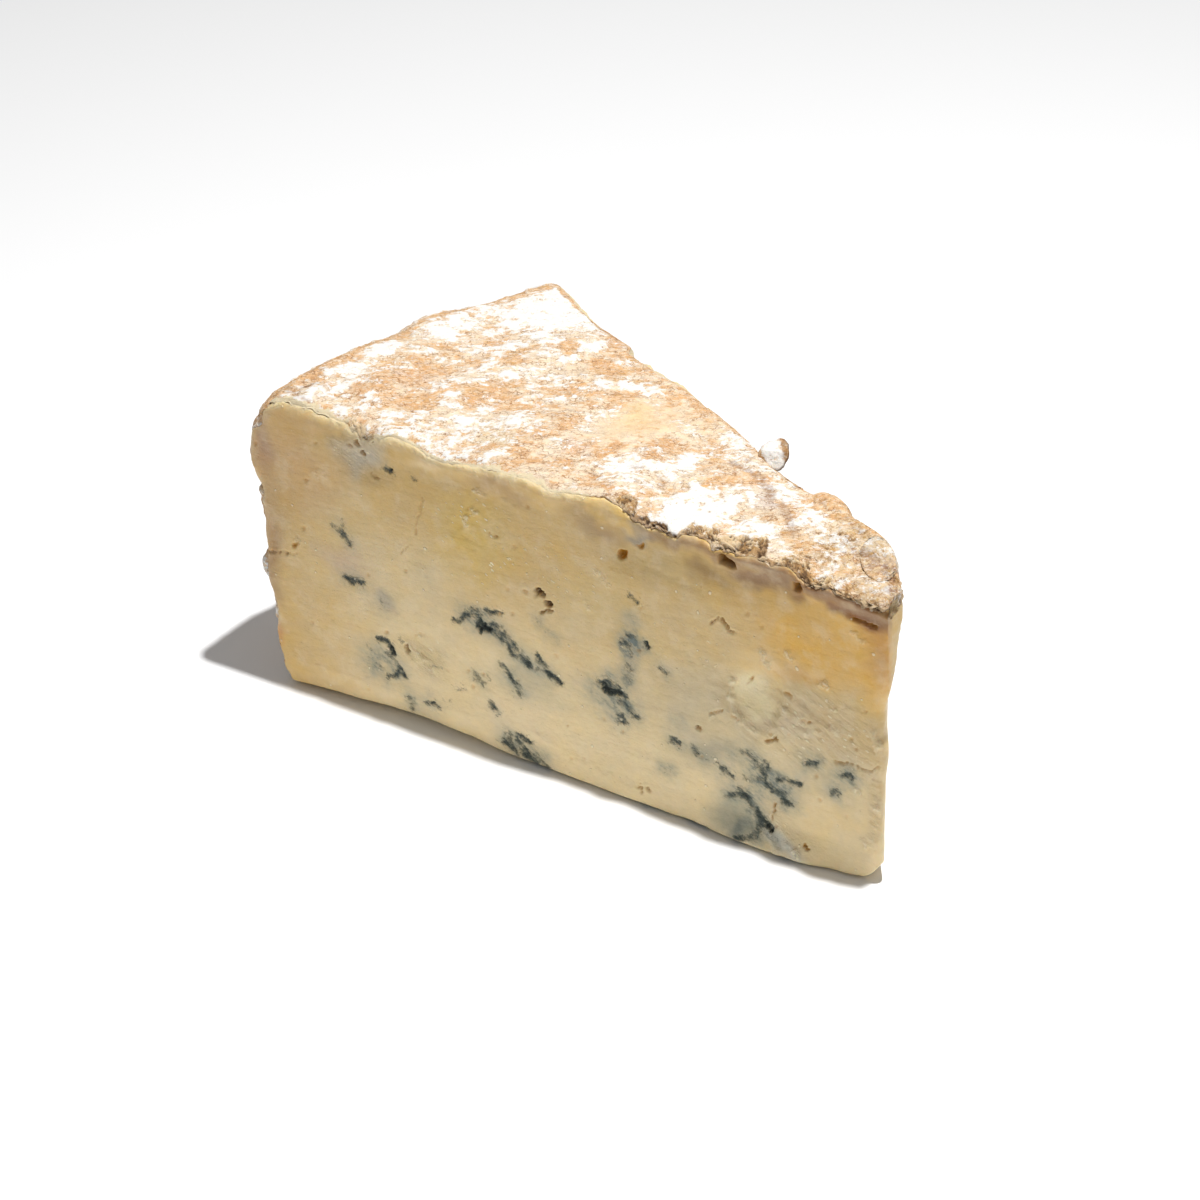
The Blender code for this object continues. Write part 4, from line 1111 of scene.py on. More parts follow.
def pasteMaterial():
    material, tree, shader, space = startMaterial("cheesePaste")
    colour = useGroup(tree, "mottle", {
        "Space": space, "Color": maskOf(tree, "tint", "Color"),
        "Patch Scale": 0.2, "Fine Scale": 1.1, "Amount": 0.14,
    })
    cloudy = remap(tree, noiseAt(tree, space, 0.33, 4.0, 0.6), 0.45, 0.7)
    colour = mixed(tree, times(tree, cloudy, 0.25), colour, paste["roughTone"])
    slanted = mapped(tree, space, turn=(0, math.radians(-28.0), 0))
    raked = mapped(tree, slanted, (0.3, 0.6, 1.4))
    torn = noiseAt(tree, raked, 1.0, 6.0, 0.74)
    # the torn streaks follow the bump: the raised ones are paler, partly their own pale grain and partly
    # painted highlight, and the low ones get painted shade
    tornPaleAndLit = times(tree, maskOf(tree, "rough"), remap(tree, torn, 0.5, 0.66))
    tornShade = times(tree, maskOf(tree, "rough"), remap(tree, torn, 0.48, 0.34))
    colour = mixed(tree, times(tree, tornPaleAndLit, 0.6), colour, paste["roughTone"])
    colour = mixed(tree, times(tree, tornShade, 0.34), colour, paste["tornShadeTone"])

    # mould: a soft haze, dark streaks drawn out by the knife within it, and the veins themselves
    drawn = mapped(tree, slanted, (0.6, 0.8, 1.3))
    haze, dark = maskOf(tree, "haze"), maskOf(tree, "dark")
    streaks = noiseAt(tree, drawn, 0.8, 6.0, 0.7)
    clouds = noiseAt(tree, space, 0.42, 4.0, 0.65)
    uneven = shaken(tree, remap(tree, streaks, 0.36, 0.64, 0.65, 1.1), 1.8, clouds)
    hazeMix = times(tree, haze, uneven, clamp=True)
    colour = mixed(tree, hazeMix, colour, paste["mouldHaze"])
    drawnOut = remap(tree, maths(tree, "MULTIPLY_ADD", hazeMix, 0.5, streaks), 0.76, 1.02)
    colour = mixed(tree, times(tree, drawnOut, 0.4), colour, paste["mould"])
    streaky = shaken(tree, dark, 1.5, noiseAt(tree, drawn, 2.0, 5.0, 0.72))
    body = remap(tree, streaky, 0.18, 0.74)
    colour = mixed(tree, times(tree, body, 0.92), colour, paste["mould"])
    core = remap(tree, streaky, 0.6, 1.04)
    colour = mixed(tree, times(tree, core, 0.94), colour, paste["mouldDark"])
    hole = times(tree, maskOf(tree, "brown"), 0.95)
    holeTone = mixed(tree, maskOf(tree, "brownDark"), paste["pit"], paste["pitDark"])
    colour = mixed(tree, hole, colour, holeTone)
    # pale specks: the flecks in the pitted and rough zones and the fine ones everywhere are painted glints;
    # the pale chips are the paste's own colour
    flecks = useGroup(tree, "flecks", {"Space": drawn, "Scale": 1.3, "Size": 0.2, "Share": 0.6})
    fleckAndGlintMix = times(tree, flecks, maths(tree, "MAXIMUM", maskOf(tree, "pitted"), maskOf(tree, "rough")))
    fine = useGroup(tree, "flecks", {"Space": space, "Scale": 0.62, "Size": 0.1, "Share": 0.35})
    fleckAndGlintMix = maths(tree, "MAXIMUM", fleckAndGlintMix, times(tree, fine, 0.7))
    chipNoise = remap(tree, noiseAt(tree, space, 1.6, 5.0, 0.7), 0.36, 0.58)
    fleckAndGlintMix = maths(tree, "MAXIMUM", fleckAndGlintMix, times(tree, maskOf(tree, "pale"), chipNoise))
    colour = mixed(tree, times(tree, fleckAndGlintMix, 0.8), colour, paste["fleck"])

    gloss = remap(tree, noiseAt(tree, space, 0.7, 4.0), 0.3, 0.7, 0.36, 0.55)
    gloss = maths(tree, "MULTIPLY_ADD", body, 0.25, gloss, clamp=True)
    smear = mapped(tree, space, (0.14, 0.5, 1.0), (0, math.radians(-8.0), wedge["frontAngle"]))
    drag = noiseAt(tree, smear, 1.5, 5.0, 0.6, 0.2)
    grain = useGroup(tree, "grain", {
        "Space": space, "Coarse Scale": 1.4, "Fine Scale": 3.4, "Crumb Share": 0.3,
    })
    height = maths(tree, "MULTIPLY_ADD", drag, 0.3, times(tree, grain, 0.35))
    height = maths(tree, "MULTIPLY_ADD", times(tree, maskOf(tree, "rough"), torn), 2.4, height)
    roughGrain = times(tree, maskOf(tree, "rough"), noiseAt(tree, space, 2.4, 6.0, 0.7))
    height = maths(tree, "MULTIPLY_ADD", roughGrain, 0.7, height)
    height = maths(tree, "MULTIPLY_ADD", fleckAndGlintMix, 0.7, height)
    sunk = maths(tree, "SUBTRACT", noiseAt(tree, space, 3.2, 5.0, 0.7), 1.0)
    height = maths(tree, "MULTIPLY_ADD", body, sunk, height)
    bump = addNode(tree, "Bump", {"Height": height, "Strength": 0.55, "Distance": 0.0005})
    fill(shader, {
        "Base Color": colour, "Roughness": gloss, "Normal": bump.outputs[0], "Specular IOR Level": 0.45,
        "Subsurface Weight": 0.25, "Subsurface Radius": (1.0, 0.62, 0.3), "Subsurface Scale": 0.0018,
    })
    return material


pastePiece = buildPaste(pasteMaterial())
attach(pastePiece, "root")
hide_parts("cheese_wedge")
print("paste made,", len(pastePiece.data.polygons), "triangles")


# rind: one sheet over the rim, the top and the point, folded over the cuts' edges
rind = {
    # place along the sheet, step
    "rowSpacing": ((0, 0.42), (44, 0.36), (50, 0.30), (96, 0.27), (104, 0.235), (150, 0.235)),
    "columns": 184,
    "tuck": 0.55,
    "rimStart": 0.5,
    "pale": tone(234, 213, 184),
    "peach": tone(230, 201, 162),
    "blush": tone(232, 199, 182),
    "cream": tone(241, 225, 200),
    "orange": tone(219, 168, 109),
    "deepOrange": tone(200, 138, 77),
    "ochre": tone(202, 157, 87),
    "tan": tone(194, 159, 113),
    "white": tone(239, 237, 232),
    "shade": tone(216, 205, 198),
    "brown": tone(138, 92, 54),
    "crust": tone(172, 133, 84),
    "crustPale": tone(224, 198, 158),
    "crustDark": tone(98, 70, 43),
    # painted shade for the creases between the crust's crumbs
    "creviceShadeTone": tone(70, 48, 30),
    "under": tone(182, 154, 122),
    "crustBand": [  # along, how wide the crust on the front edge is
        (0, 0.9), (10, 0.9), (11.5, 2.2), (17, 2.4), (19, 1.4), (22, 2.6), (27, 3.2), (31, 2.8), (36, 2.6),
        (42, 2.4), (44, 1.0), (46, 0),
    ],
    "yellow": tone(226, 200, 100),
    "edge": tone(222, 206, 172),
    "streakTurn": math.radians(48.3),  # the way the skin's streaks run, from the drum's x axis
}
# white mould on the top: middle and half sizes in plan
whitePatches = [
    (-88, 18.5, 7.5, 5), (-91.5, 13, 3.8, 2.2), (-96, 13, 1.8, 3), (-95.5, 8, 2, 4), (-94.5, 3.5, 3.6, 3),
    (-91, 8.5, 1.5, 2), (-95, -7, 2.4, 3.2), (-94, -14, 2.2, 4), (-92, -19, 1.9, 2.5), (-90.7, -23, 1.4, 3),
    (-88.5, -26, 1.3, 1.3), (-84, 12, 3, 2), (-77, 15, 2.2, 2), (-86, 6, 1.4, 3), (-83.5, 1, 1.1, 3),
    (-81.5, -5, 1, 2.6), (-78, 3, 1.4, 2), (-73, 6, 1.6, 1.6), (-71, 0, 1, 1.2), (-72, -12, 2.3, 2.3),
    (-68.6, -17, 1.3, 3.4), (-85.5, -22, 1.4, 1), (-64, 13, 3.2, 2.1), (-68, 9, 2.6, 1.4),
    (-58.3, 10, 1, 1), (-67, -8, 1.4, 2.4), (-69, -12, 1.1, 3), (-43, 3, 2.3, 3.3), (-45, -1.5, 3.8, 1.9),
    (-49, -5, 2.3, 2.1), (-45, -6.5, 2.6, 1), (-34, -5, 5.4, 5.2), (-36.5, -9.5, 3, 1.6),
    (-43, 11.5, 2.4, 1), (-37, 9.5, 2.8, 1), (-29, 6.5, 3.6, 1.4), (-32, 2, 2.2, 1.3), (-24, -1.5, 3.2, 2),
    (-21, 4.5, 1.5, 1.5), (-15, 3.5, 2, 1.9), (-3, 1.5, 2.4, 0.9), (-0.5, -2, 0.9, 1.5),
    (-80.5, 8.5, 1.6, 1.4), (-62, 5.5, 1.4, 1.2), (-74.5, -6.5, 1.2, 2), (-63, -15.5, 1.6, 1.2),
    (-52, 9.8, 1.4, 0.8), (-12, -1.2, 1.6, 1), (-18.6, -3.6, 1.6, 1),
]
# orange and ochre places on the top: middle, half sizes, how deep a tone
orangePatches = [
    (-92, 12.2, 2.4, 1.2, 0.9), (-86, 13.6, 3.4, 1, 0.8), (-96, 16, 1.4, 1.4, 0.8),
    (-92.6, 5, 1.6, 2.4, 0.8), (-88, 8, 1.6, 2.2, 0.8), (-87, -5, 2, 3, 0.7), (-88, -16, 3, 5, 1),
    (-84, -16, 3, 3, 0.9), (-90, -9, 2.4, 2.6, 0.6), (-77, 18.5, 3.2, 2, 1.1), (-71, 12.5, 2.4, 3.4, 0.9),
    (-68, 16.5, 2.2, 1.4, 1), (-69, 5, 2, 3, 0.7), (-71.5, 2.5, 2.5, 1.6, 0.6), (-72.5, -1.5, 2, 2, 0.8),
    (-69, -4, 2.6, 2, 0.8), (-76, -4, 3, 5, 0.7), (-79, 12, 2.5, 2, 0.5), (-83, -23.3, 1.6, 1, 1.1),
    (-79, -24, 2, 1.2, 0.9), (-63, -1.5, 2.6, 2.4, 1), (-58, 12.5, 1.4, 1.6, 0.8), (-53, -2.5, 2.2, 2.5, 1),
    (-54, -10.5, 2.2, 1.8, 1), (-57, -12, 2, 1.4, 0.9), (-59, -15, 2.6, 1.2, 0.8), (-48, 2, 2, 3.4, 1),
    (-45, 8.7, 2.6, 1, 0.9), (-44, 13.5, 2.2, 1.2, 0.8), (-47, -9, 3, 1.6, 1), (-80, -13, 3, 3, 0.7),
    (-62, 8, 2.4, 1.8, 0.5), (-75, -19, 2.6, 2, 0.8), (-16.5, 0.4, 2, 0.9, 0.9), (-27, -2.2, 1.2, 0.8, 0.7),
    (-36, 6.4, 3, 0.8, 0.5), (-12.5, 1, 2, 1.6, 0.6), (-7.5, -2.4, 3.4, 2, 0.7), (-22, 1.8, 2, 1, 0.6),
    (-64, -8, 2, 3, 0.8), (-81, -8, 2, 3, 0.6),
]
# slow tints of the top: middle, half sizes, tone, strength
topTints = [
    ((-56, 6), (8, 10), rind["peach"], 1.3), ((-58, 7), (4, 5), tone(226, 200, 150), 0.6),
    ((-57, -5), (3, 4), rind["blush"], 0.9), ((-86, -8), (5, 5), rind["blush"], 0.7),
    ((-66, -12), (4, 4), tone(200, 180, 140), 0.5), ((-37, -2), (2, 4), rind["yellow"], 0.6),
    ((-30, -2), (4, 1.2), rind["yellow"], 0.35), ((-73, -19.5), (5, 3), rind["ochre"], 0.7),
    ((-40, -8.6), (4, 1.6), rind["ochre"], 0.8), ((-12, 1), (12, 8), rind["tan"], 0.6),
    ((-5, -1), (5, 6), tone(196, 158, 108), 0.6), ((-26, 2), (5, 3), rind["tan"], 0.5),
    ((-15, 8), (6, 3), tone(208, 176, 128), 0.8), ((-49, 12), (6, 5), rind["peach"], 0.8),
    ((-75, 10), (6, 5), rind["peach"], 0.4), ((-29, 4), (5, 3), tone(196, 186, 186), 0.7),
    ((-82, -24), (9, 3), tone(206, 178, 130), 0.7), ((-93, -25), (4, 4), tone(206, 176, 128), 1.0),
]
# brown folds and creases on the top: path, half width, strength
brownStrokes = [
    (((-39, 7.3), (-34, 6.8), (-30, 5.3), (-29, 4.3)), 0.45, 0.7),
    (((-27, 4.5), (-23, 2.5), (-20, 1), (-21, 0)), 0.45, 0.6),
    (((-11.6, 3.7), (-8.5, 4), (-6, 3.4)), 0.4, 0.9),
    (((-6, 3.4), (-3.4, 1.4), (-1, -1.6), (1.4, -4.2)), 0.5, 1),
    (((-13, 3.5), (-11, 3), (-10, 1.8)), 0.2, 0.8), (((-91.5, 24.5), (-83, 21.5), (-77, 20.3)), 0.3, 0.8),
    (((-33, -9), (-28, -8)), 0.3, 0.8), (((-31, -6.4), (-30, -6.2)), 0.25, 0.7),
    (((-39, -12.3), (-36, -11.4), (-32, -11.2)), 0.4, 0.9), (((-24, -8.6), (-22, -7.6)), 0.4, 0.8),
    (((-11.5, -4.5), (-9.5, -5.2)), 0.4, 0.9),
    (((-97.5, -23), (-88, -24.6), (-80, -24.4), (-72, -21.6)), 0.35, 0.5),
    (((-72, -20.8), (-70.5, -21.2)), 0.5, 0.8), (((-44, -2.6), (-42, -3.4), (-41, -4.6)), 0.2, 0.7),
    (((-47.4, -3.6), (-46.2, -3.2)), 0.3, 0.6), (((-93.9, -21.5), (-93.2, -21.5)), 0.4, 1),
    (((-38.6, 9.8), (-38, 8.8)), 0.3, 0.9), (((-96.2, -16), (-95.4, -19), (-93.4, -21)), 0.16, 0.5),
    (((-58, -17), (-56, -16.4)), 0.2, 0.6), (((-53, -13.6), (-50, -13.4)), 0.2, 0.6),
    (((-50.8, -8.6), (-48.6, -7.8)), 0.16, 0.7), (((-15, -5.8), (-13, -5.2)), 0.3, 0.7),
    (((-6.4, -4.6), (-4.4, -4.4)), 0.3, 0.6), (((-0.4, 0.4), (-0.8, -1.4)), 0.25, 0.7),
    (((-19, 8), (-16, 7.2), (-12, 6)), 0.4, 0.5),
]
rindLumps = [  # lumps that stand out of the rind, the same as on the solid: middle, radii, turn
    ((-31.8, 10.6, 44.8), (3.6, 2.0, 1.5), (0, -6, -12)),
    ((-22.0, 9.0, 45.0), (3.8, 2.1, 1.5), (0, 6, -14)), ((-92.5, -21.8, 45.5), (2.1, 3.2, 1.3), (0, 0, 20)),
    ((-8.2, 4.0, 44.9), (4.8, 2.3, 1.6), (0, 10, -36)),
]


def turned(angles):
    return np.array(Euler([math.radians(angle) for angle in angles]).to_matrix())


def billows(points, size, seed, layers=3):
    # rounded lumps with sharp creases between them, 0 in a crease
    total, strength = np.zeros(len(points)), 1.0
    for layer in range(layers):
        total += strength * np.abs(softNoise(points, size / 1.9 ** layer, seed + layer))
        strength *= 0.55
    return total


def crumbs(points, size, seed):
    # height of angular crumbs, 0 to about 1.4, and a tone for each crumb
    nearest, second, crumbTone = lumpNoise(points, size, seed)
    gap = second - nearest
    return easeIn(gap, 0.0, 0.34) * (0.5 + 0.9 * crumbTone) * (1.15 - 0.6 * nearest), crumbTone


def sheetRows():
    rows, place = [0.0], 0.0
    end = wedge["height"] - rind["rimStart"] + wedge["drumRadius"] + rindBorder["tipDrop"]
    while place < end:
        place += float(np.interp(place, *zip(*rind["rowSpacing"])))
        rows.append(min(place, end))
    return np.array(rows)


def patchValue(x, y, patches, spread):
    # 0.5 on a patch's outline, rising inwards; spread is how many mm it takes from 0 to 1
    value = np.full(len(x), -9.0)
    for patch in patches:
        distance = np.hypot((x - patch[0]) / patch[2], (y - patch[1]) / patch[3])
        value = np.maximum(value, (1.0 - distance) * min(patch[2], patch[3]))
    return np.clip(0.5 + value / spread, 0, 1)


def buildRind(material):
    length, height = wedge["drumRadius"], wedge["height"]
    station = sheetRows()
    rise = height - rind["rimStart"]
    total = station[-1]
    columns, rows = rind["columns"], len(station)

    # the path up the rim, over the top and down the point:
    # distance from the rim, height, and which way is inwards
    fromRim = np.clip(station - rise, 0, length)
    level = np.where(station < rise, rind["rimStart"] + station, height)
    level = level - np.clip(station - rise - length, 0, None)
    turnTop = easeIn(station, rise - 4, rise + 4)
    turnPoint = easeIn(station, rise + length - 6, rise + length + 4)
    inwardX = (1 - turnTop) - turnPoint
    inwardZ = -turnTop * (1 - turnPoint)
    width = wedgeWidth(1 - fromRim / length)
    along = length - fromRim
    onRimStretch = station < rise
    frontDepth = np.where(onRimStretch, borderDepth("rimFront", level), borderDepth("front", along))
    backDepth = np.where(onRimStretch, borderDepth("rimBack", level), borderDepth("back", along))
    share = np.linspace(0, 1, columns - 4)
    left, right = -(width / 2 + frontDepth)[:, None], (width / 2 + backDepth)[:, None]
    across = left * (1 - share) + right * share
    across = np.concatenate([left - 0.5, left - 0.2, across, right + 0.2, right + 0.5], axis=1)
    inside = np.minimum(across - left, right - across)
    inside = np.minimum(inside, (np.minimum(station, total - station) - 0.6)[:, None]).ravel()

    fold = np.maximum(np.abs(across) - width[:, None] / 2, 0)
    x = fromRim[:, None] - length / 2 + fold * inwardX[:, None]
    z = level[:, None] - height / 2 + fold * inwardZ[:, None]
    x, z = np.clip(x, -length / 2, length / 2).ravel(), np.clip(z, -height / 2, height / 2).ravel()
    halfWidth = wedgeWidth(0.5 - x / length) / 2
    y = np.clip(across.ravel(), -halfWidth, halfWidth)
    y = np.where(fold.ravel() > 0, np.sign(across.ravel()) * halfWidth, y)

    plain = plainWedge(x, y, z)
    points = unevenWedge(plain)
    ids = np.arange(rows * columns).reshape(rows, columns)
    quads = np.stack([ids[:-1, :-1], ids[:-1, 1:], ids[1:, 1:], ids[1:, :-1]], axis=-1).reshape(-1, 4)
    normals = outwardNormals(points, quads)
    if normals[ids[rows * 2 // 3, columns // 2], 2] < 0:
        quads = quads[:, ::-1]
        normals = -normals

    alongTop = plain @ frontAlong
    fromFront, fromBack = cutDistances(plain)
    flatX, flatY, level = plain[:, 0], plain[:, 1], plain[:, 2]
    isRim = np.repeat(onRimStretch, columns).astype(float)
    onTop = 1 - isRim
    depth = np.maximum(inside, 0)

    # places shifted by noise, so that every outline wanders
    swirl = noiseStack(plain, 4.6, (201, 211), 5, 0.62)
    patchX, patchY = flatX + 1.5 * swirl[:, 0], flatY + 1.5 * swirl[:, 1]
    fineX, fineY = flatX + 0.5 * swirl[:, 0], flatY + 0.5 * swirl[:, 1]

    white = patchValue(patchX, patchY, whitePatches, 2.6)
    turn = rind["streakTurn"]
    streakAlong = flatX * math.cos(turn) + flatY * math.sin(turn)
    streakAcross = flatY * math.cos(turn) - flatX * math.sin(turn)
    streak = np.stack([0.56 * streakAlong, streakAcross, level], axis=1)
    scattered = layeredNoise(streak, 2.2, 221, 5, 0.66)
    white = np.maximum(white, np.clip(0.5 + 0.7 * (scattered - 0.66), 0, 0.72))
    rimWhite = np.clip(0.5 + 0.8 * (layeredNoise(plain, 6.0, 231, 5, 0.6) - 0.25), 0, 1)
    white = np.where(isRim > 0.5, rimWhite, white)
    orange = patchValue(patchX, patchY, orangePatches, 2.8)
    deep = np.zeros(len(plain))
    for *centre, rx, ry, strength in orangePatches:
        deep = np.maximum(deep, (strength - 0.5) * spot(patchX, patchY, centre, (rx, ry), 1.5))
    scattered = layeredNoise(streak, 3.2, 241, 5, 0.62)
    orange = np.maximum(orange, np.clip(0.5 + 0.7 * (scattered - 0.22), 0, 0.8))
    planRadius = np.hypot(flatX, flatY)
    rimBand = easeIn(planRadius, 94.9, 96.3) * onTop * (layeredNoise(plain, 2.6, 247) > -0.45)
    backStrip = fade(np.maximum(fromBack, 0) - 0.8 - swirl[:, 0], 1.0) * onTop
    orange = np.maximum(orange, 0.95 * np.maximum(rimBand, backStrip))
    white = white * (1 - 0.85 * easeIn(planRadius, 97.6, 98.6) * onTop) * (1 - 0.8 * backStrip)
    orange = np.where(isRim > 0.5, np.clip(0.62 + 0.5 * layeredNoise(plain, 8.0, 243), 0, 1), orange)
    smooth = np.clip(1.6 * spot(patchX, patchY, (-56, 5.5), (8.5, 11)) * onTop, 0, 1)
    white = white * (1 - 0.75 * smooth)
    flecks = easeIn(layeredNoise(streak, 1.3, 265, 4, 0.65), 0.3, 0.5) * onTop
    white = white * (1 - 0.38 * flecks)
    orange = np.where(smooth > 0, orange * (1 - 0.7 * smooth), orange)

    tint = np.tile(np.array(rind["pale"]), (len(plain), 1))
    for centre, halfSizes, colour, strength in topTints:
        near = spot(patchX, patchY, centre, halfSizes)
        tint = blended(tint, colour, np.clip(strength * near, 0, 1) * onTop)
    rimShare = isRim * np.clip(0.6 + 0.4 * layeredNoise(plain, 9.0, 251), 0, 1)
    tint = blended(tint, rind["tan"], rimShare)

    brown = strokeMask(fineX, fineY, brownStrokes, 0.4) * onTop
    grooves = np.zeros(len(plain))
    for groove, halfBreadth in ((31.5, 1.0), (21.5, 1.2), (10.0, 0.8)):
        grooves = np.maximum(grooves, isRim * fade(np.abs(level + 0.8 * swirl[:, 1] - groove), halfBreadth))
    outer = np.maximum(0.45 * easeIn(planRadius, 98.2, 99.0), 0.45 * fade(fromBack - 0.1, 0.5)) * onTop
    outer *= easeIn(layeredNoise(plain, 2.2, 253), -0.5, 0.2)
    brown = np.maximum.reduce([brown, 0.5 * grooves, outer])

    # the crumbly crust: along the front edge near the point, and a thinner one on the other edges
    bandWidth = readProfile(rind["crustBand"], alongTop) * (0.72 + 0.5 * swirl[:, 0])
    frontCrust = fade(alongTop - 43, 3.0) * fade(depth - bandWidth, 2.2) * (fromFront < 9)
    tipCrust = 0.46 * fade(alongTop - 14, 15.0) * onTop
    middleCrust = 0.7 * fade(np.abs(alongTop - 84), 7.0) * (fromFront < 8)
    middleCrust *= fade(depth - 1.6 - swirl[:, 1], 1.8)
    pointCrust = fade(-flatX, 9.0) * 0.75
    backCrust = 0.6 * fade(-flatX - 30, 14.0) * fade(depth - 0.8, 2.0) * (fromBack < 7)
    edgeCrust = 0.5 * fade(depth, 1.2)
    edgeCrust *= 1 - fade(50 - alongTop, 5.0) * onTop
    crusts = [frontCrust, tipCrust, middleCrust, pointCrust, backCrust, edgeCrust]
    crust = np.clip(np.maximum.reduce(crusts), 0, 1)
    crust *= np.clip(1.05 + 0.5 * layeredNoise(plain, 3.0, 261), 0.2, 1)

    # relief
    bent = plain + 0.7 * noiseStack(plain, 1.7, (271, 281, 291), 3)
    big, bigTone = crumbs(bent, 1.35, 301)
    small, smallTone = crumbs(bent, 0.7, 311)
    crumbHeight = 0.95 * (big - 0.5) + 0.6 * (small - 0.5) + 0.25 * layeredNoise(bent, 0.7, 317, 2)
    crumbHeight = np.minimum(crumbHeight, 0.5 + 0.3 * np.maximum(crumbHeight - 0.5, 0))
    darker = np.maximum(fade(np.abs(alongTop - 38), 6.0), fade(np.abs(alongTop - 14.5), 4.0))
    darker *= fade(fromFront - 4, 4.0)
    crumbTone = np.clip(0.45 * bigTone + 0.55 * smallTone - 0.16 * darker + 0.16 * (1 - darker), 0, 1)
    relief = 0.11 * layeredNoise(plain, 5.0, 321, 3) + 0.05 * billows(bent, 1.6, 331, 3) - 0.04
    crumbDepth = 0.56 - 0.2 * easeIn(alongTop, 46, 54)
    relief = relief * (1 - crust) + crumbHeight * crust * easeIn(crust, 0.2, 0.8) * crumbDepth
    relief += 0.16 * easeIn(white, 0.42, 0.62) * (1 - crust) - 0.16 * brown
    relief -= 0.07 * easeIn(orange, 0.45, 0.7) * (1 - crust)
    relief += isRim * (0.22 * layeredNoise(plain, 2.6, 341, 5, 0.6) - 0.5 * grooves)
    # painted shade: marks the creases between the crust's crumbs for darkening
    creviceShade = np.clip(1.3 * easeIn(-crumbHeight, 0.15, 0.6) * easeIn(crust, 0.35, 0.8), 0, 1)
    relief -= 0.35 * pointCrust
    relief *= easeIn(inside, -0.1, 0.5)
    tuck = 0.12 + (rind["tuck"] - 0.12) * np.maximum(fade(alongTop - 44, 6.0), isRim)
    relief -= tuck * (1 - easeIn(inside, -0.15, 0.34))
    points = points + normals * relief[:, None]
    for centre, radii, turn in rindLumps:
        axes = turned(turn)
        local = (points - np.array(centre)) @ axes / np.array(radii)
        local *= 1 + 0.10 * layeredNoise(points, 1.6, 351, 2)[:, None]
        reach = np.linalg.norm(local, axis=1)
        grow = np.where(reach < 1, 1 / np.maximum(reach, 0.45), 1)
        inward = easeIn(inside, -0.1, 0.4)
        points += ((local * ((grow - 1) * inward)[:, None]) * np.array(radii)) @ axes.T
        crust = np.maximum(crust, 0.4 * fade(reach, 1.3))
    points = insideCad(softened(points))
    points[:, 2] = np.maximum(points[:, 2], 0.05)

    edge = fade(depth, 1.7) * fade(50 - alongTop, 5.0) * onTop
    under = easeIn(-fromFront, -1.6, 0.0) * fade(alongTop - 46, 4.0) * (1 - isRim) * fade(depth, 2.6)
    masks = {
        "white": white, "orange": orange, "deep": np.clip(deep, 0, 1), "brown": brown, "crust": crust,
        "creviceShade": creviceShade, "crumb": crumbTone, "smooth": smooth, "edge": edge, "under": under,
    }
    charts = rindCharts(station, across, rise, quads, columns)
    return makePiece("rind", points, quads, material, masks, charts, {"tint": tint})


def rindCharts(station, across, rise, quads, columns):
    # unrolled in mm; the rim's stretch and the top's stretch lie side by side in a square 124 mm wide
    stations = np.repeat(station[:, None], across.shape[1], axis=1)
    flat = np.stack([across + 31.0, stations], axis=-1).reshape(-1, 2)
    charts = flat[quads]
    onRim = station[quads.min(axis=1) // columns] < rise
    charts[onRim, :, 1] += 1.0
    charts[~onRim, :, 1] -= rise - 1.0
    charts[~onRim, :, 0] += 62.0
    return charts / 124.0


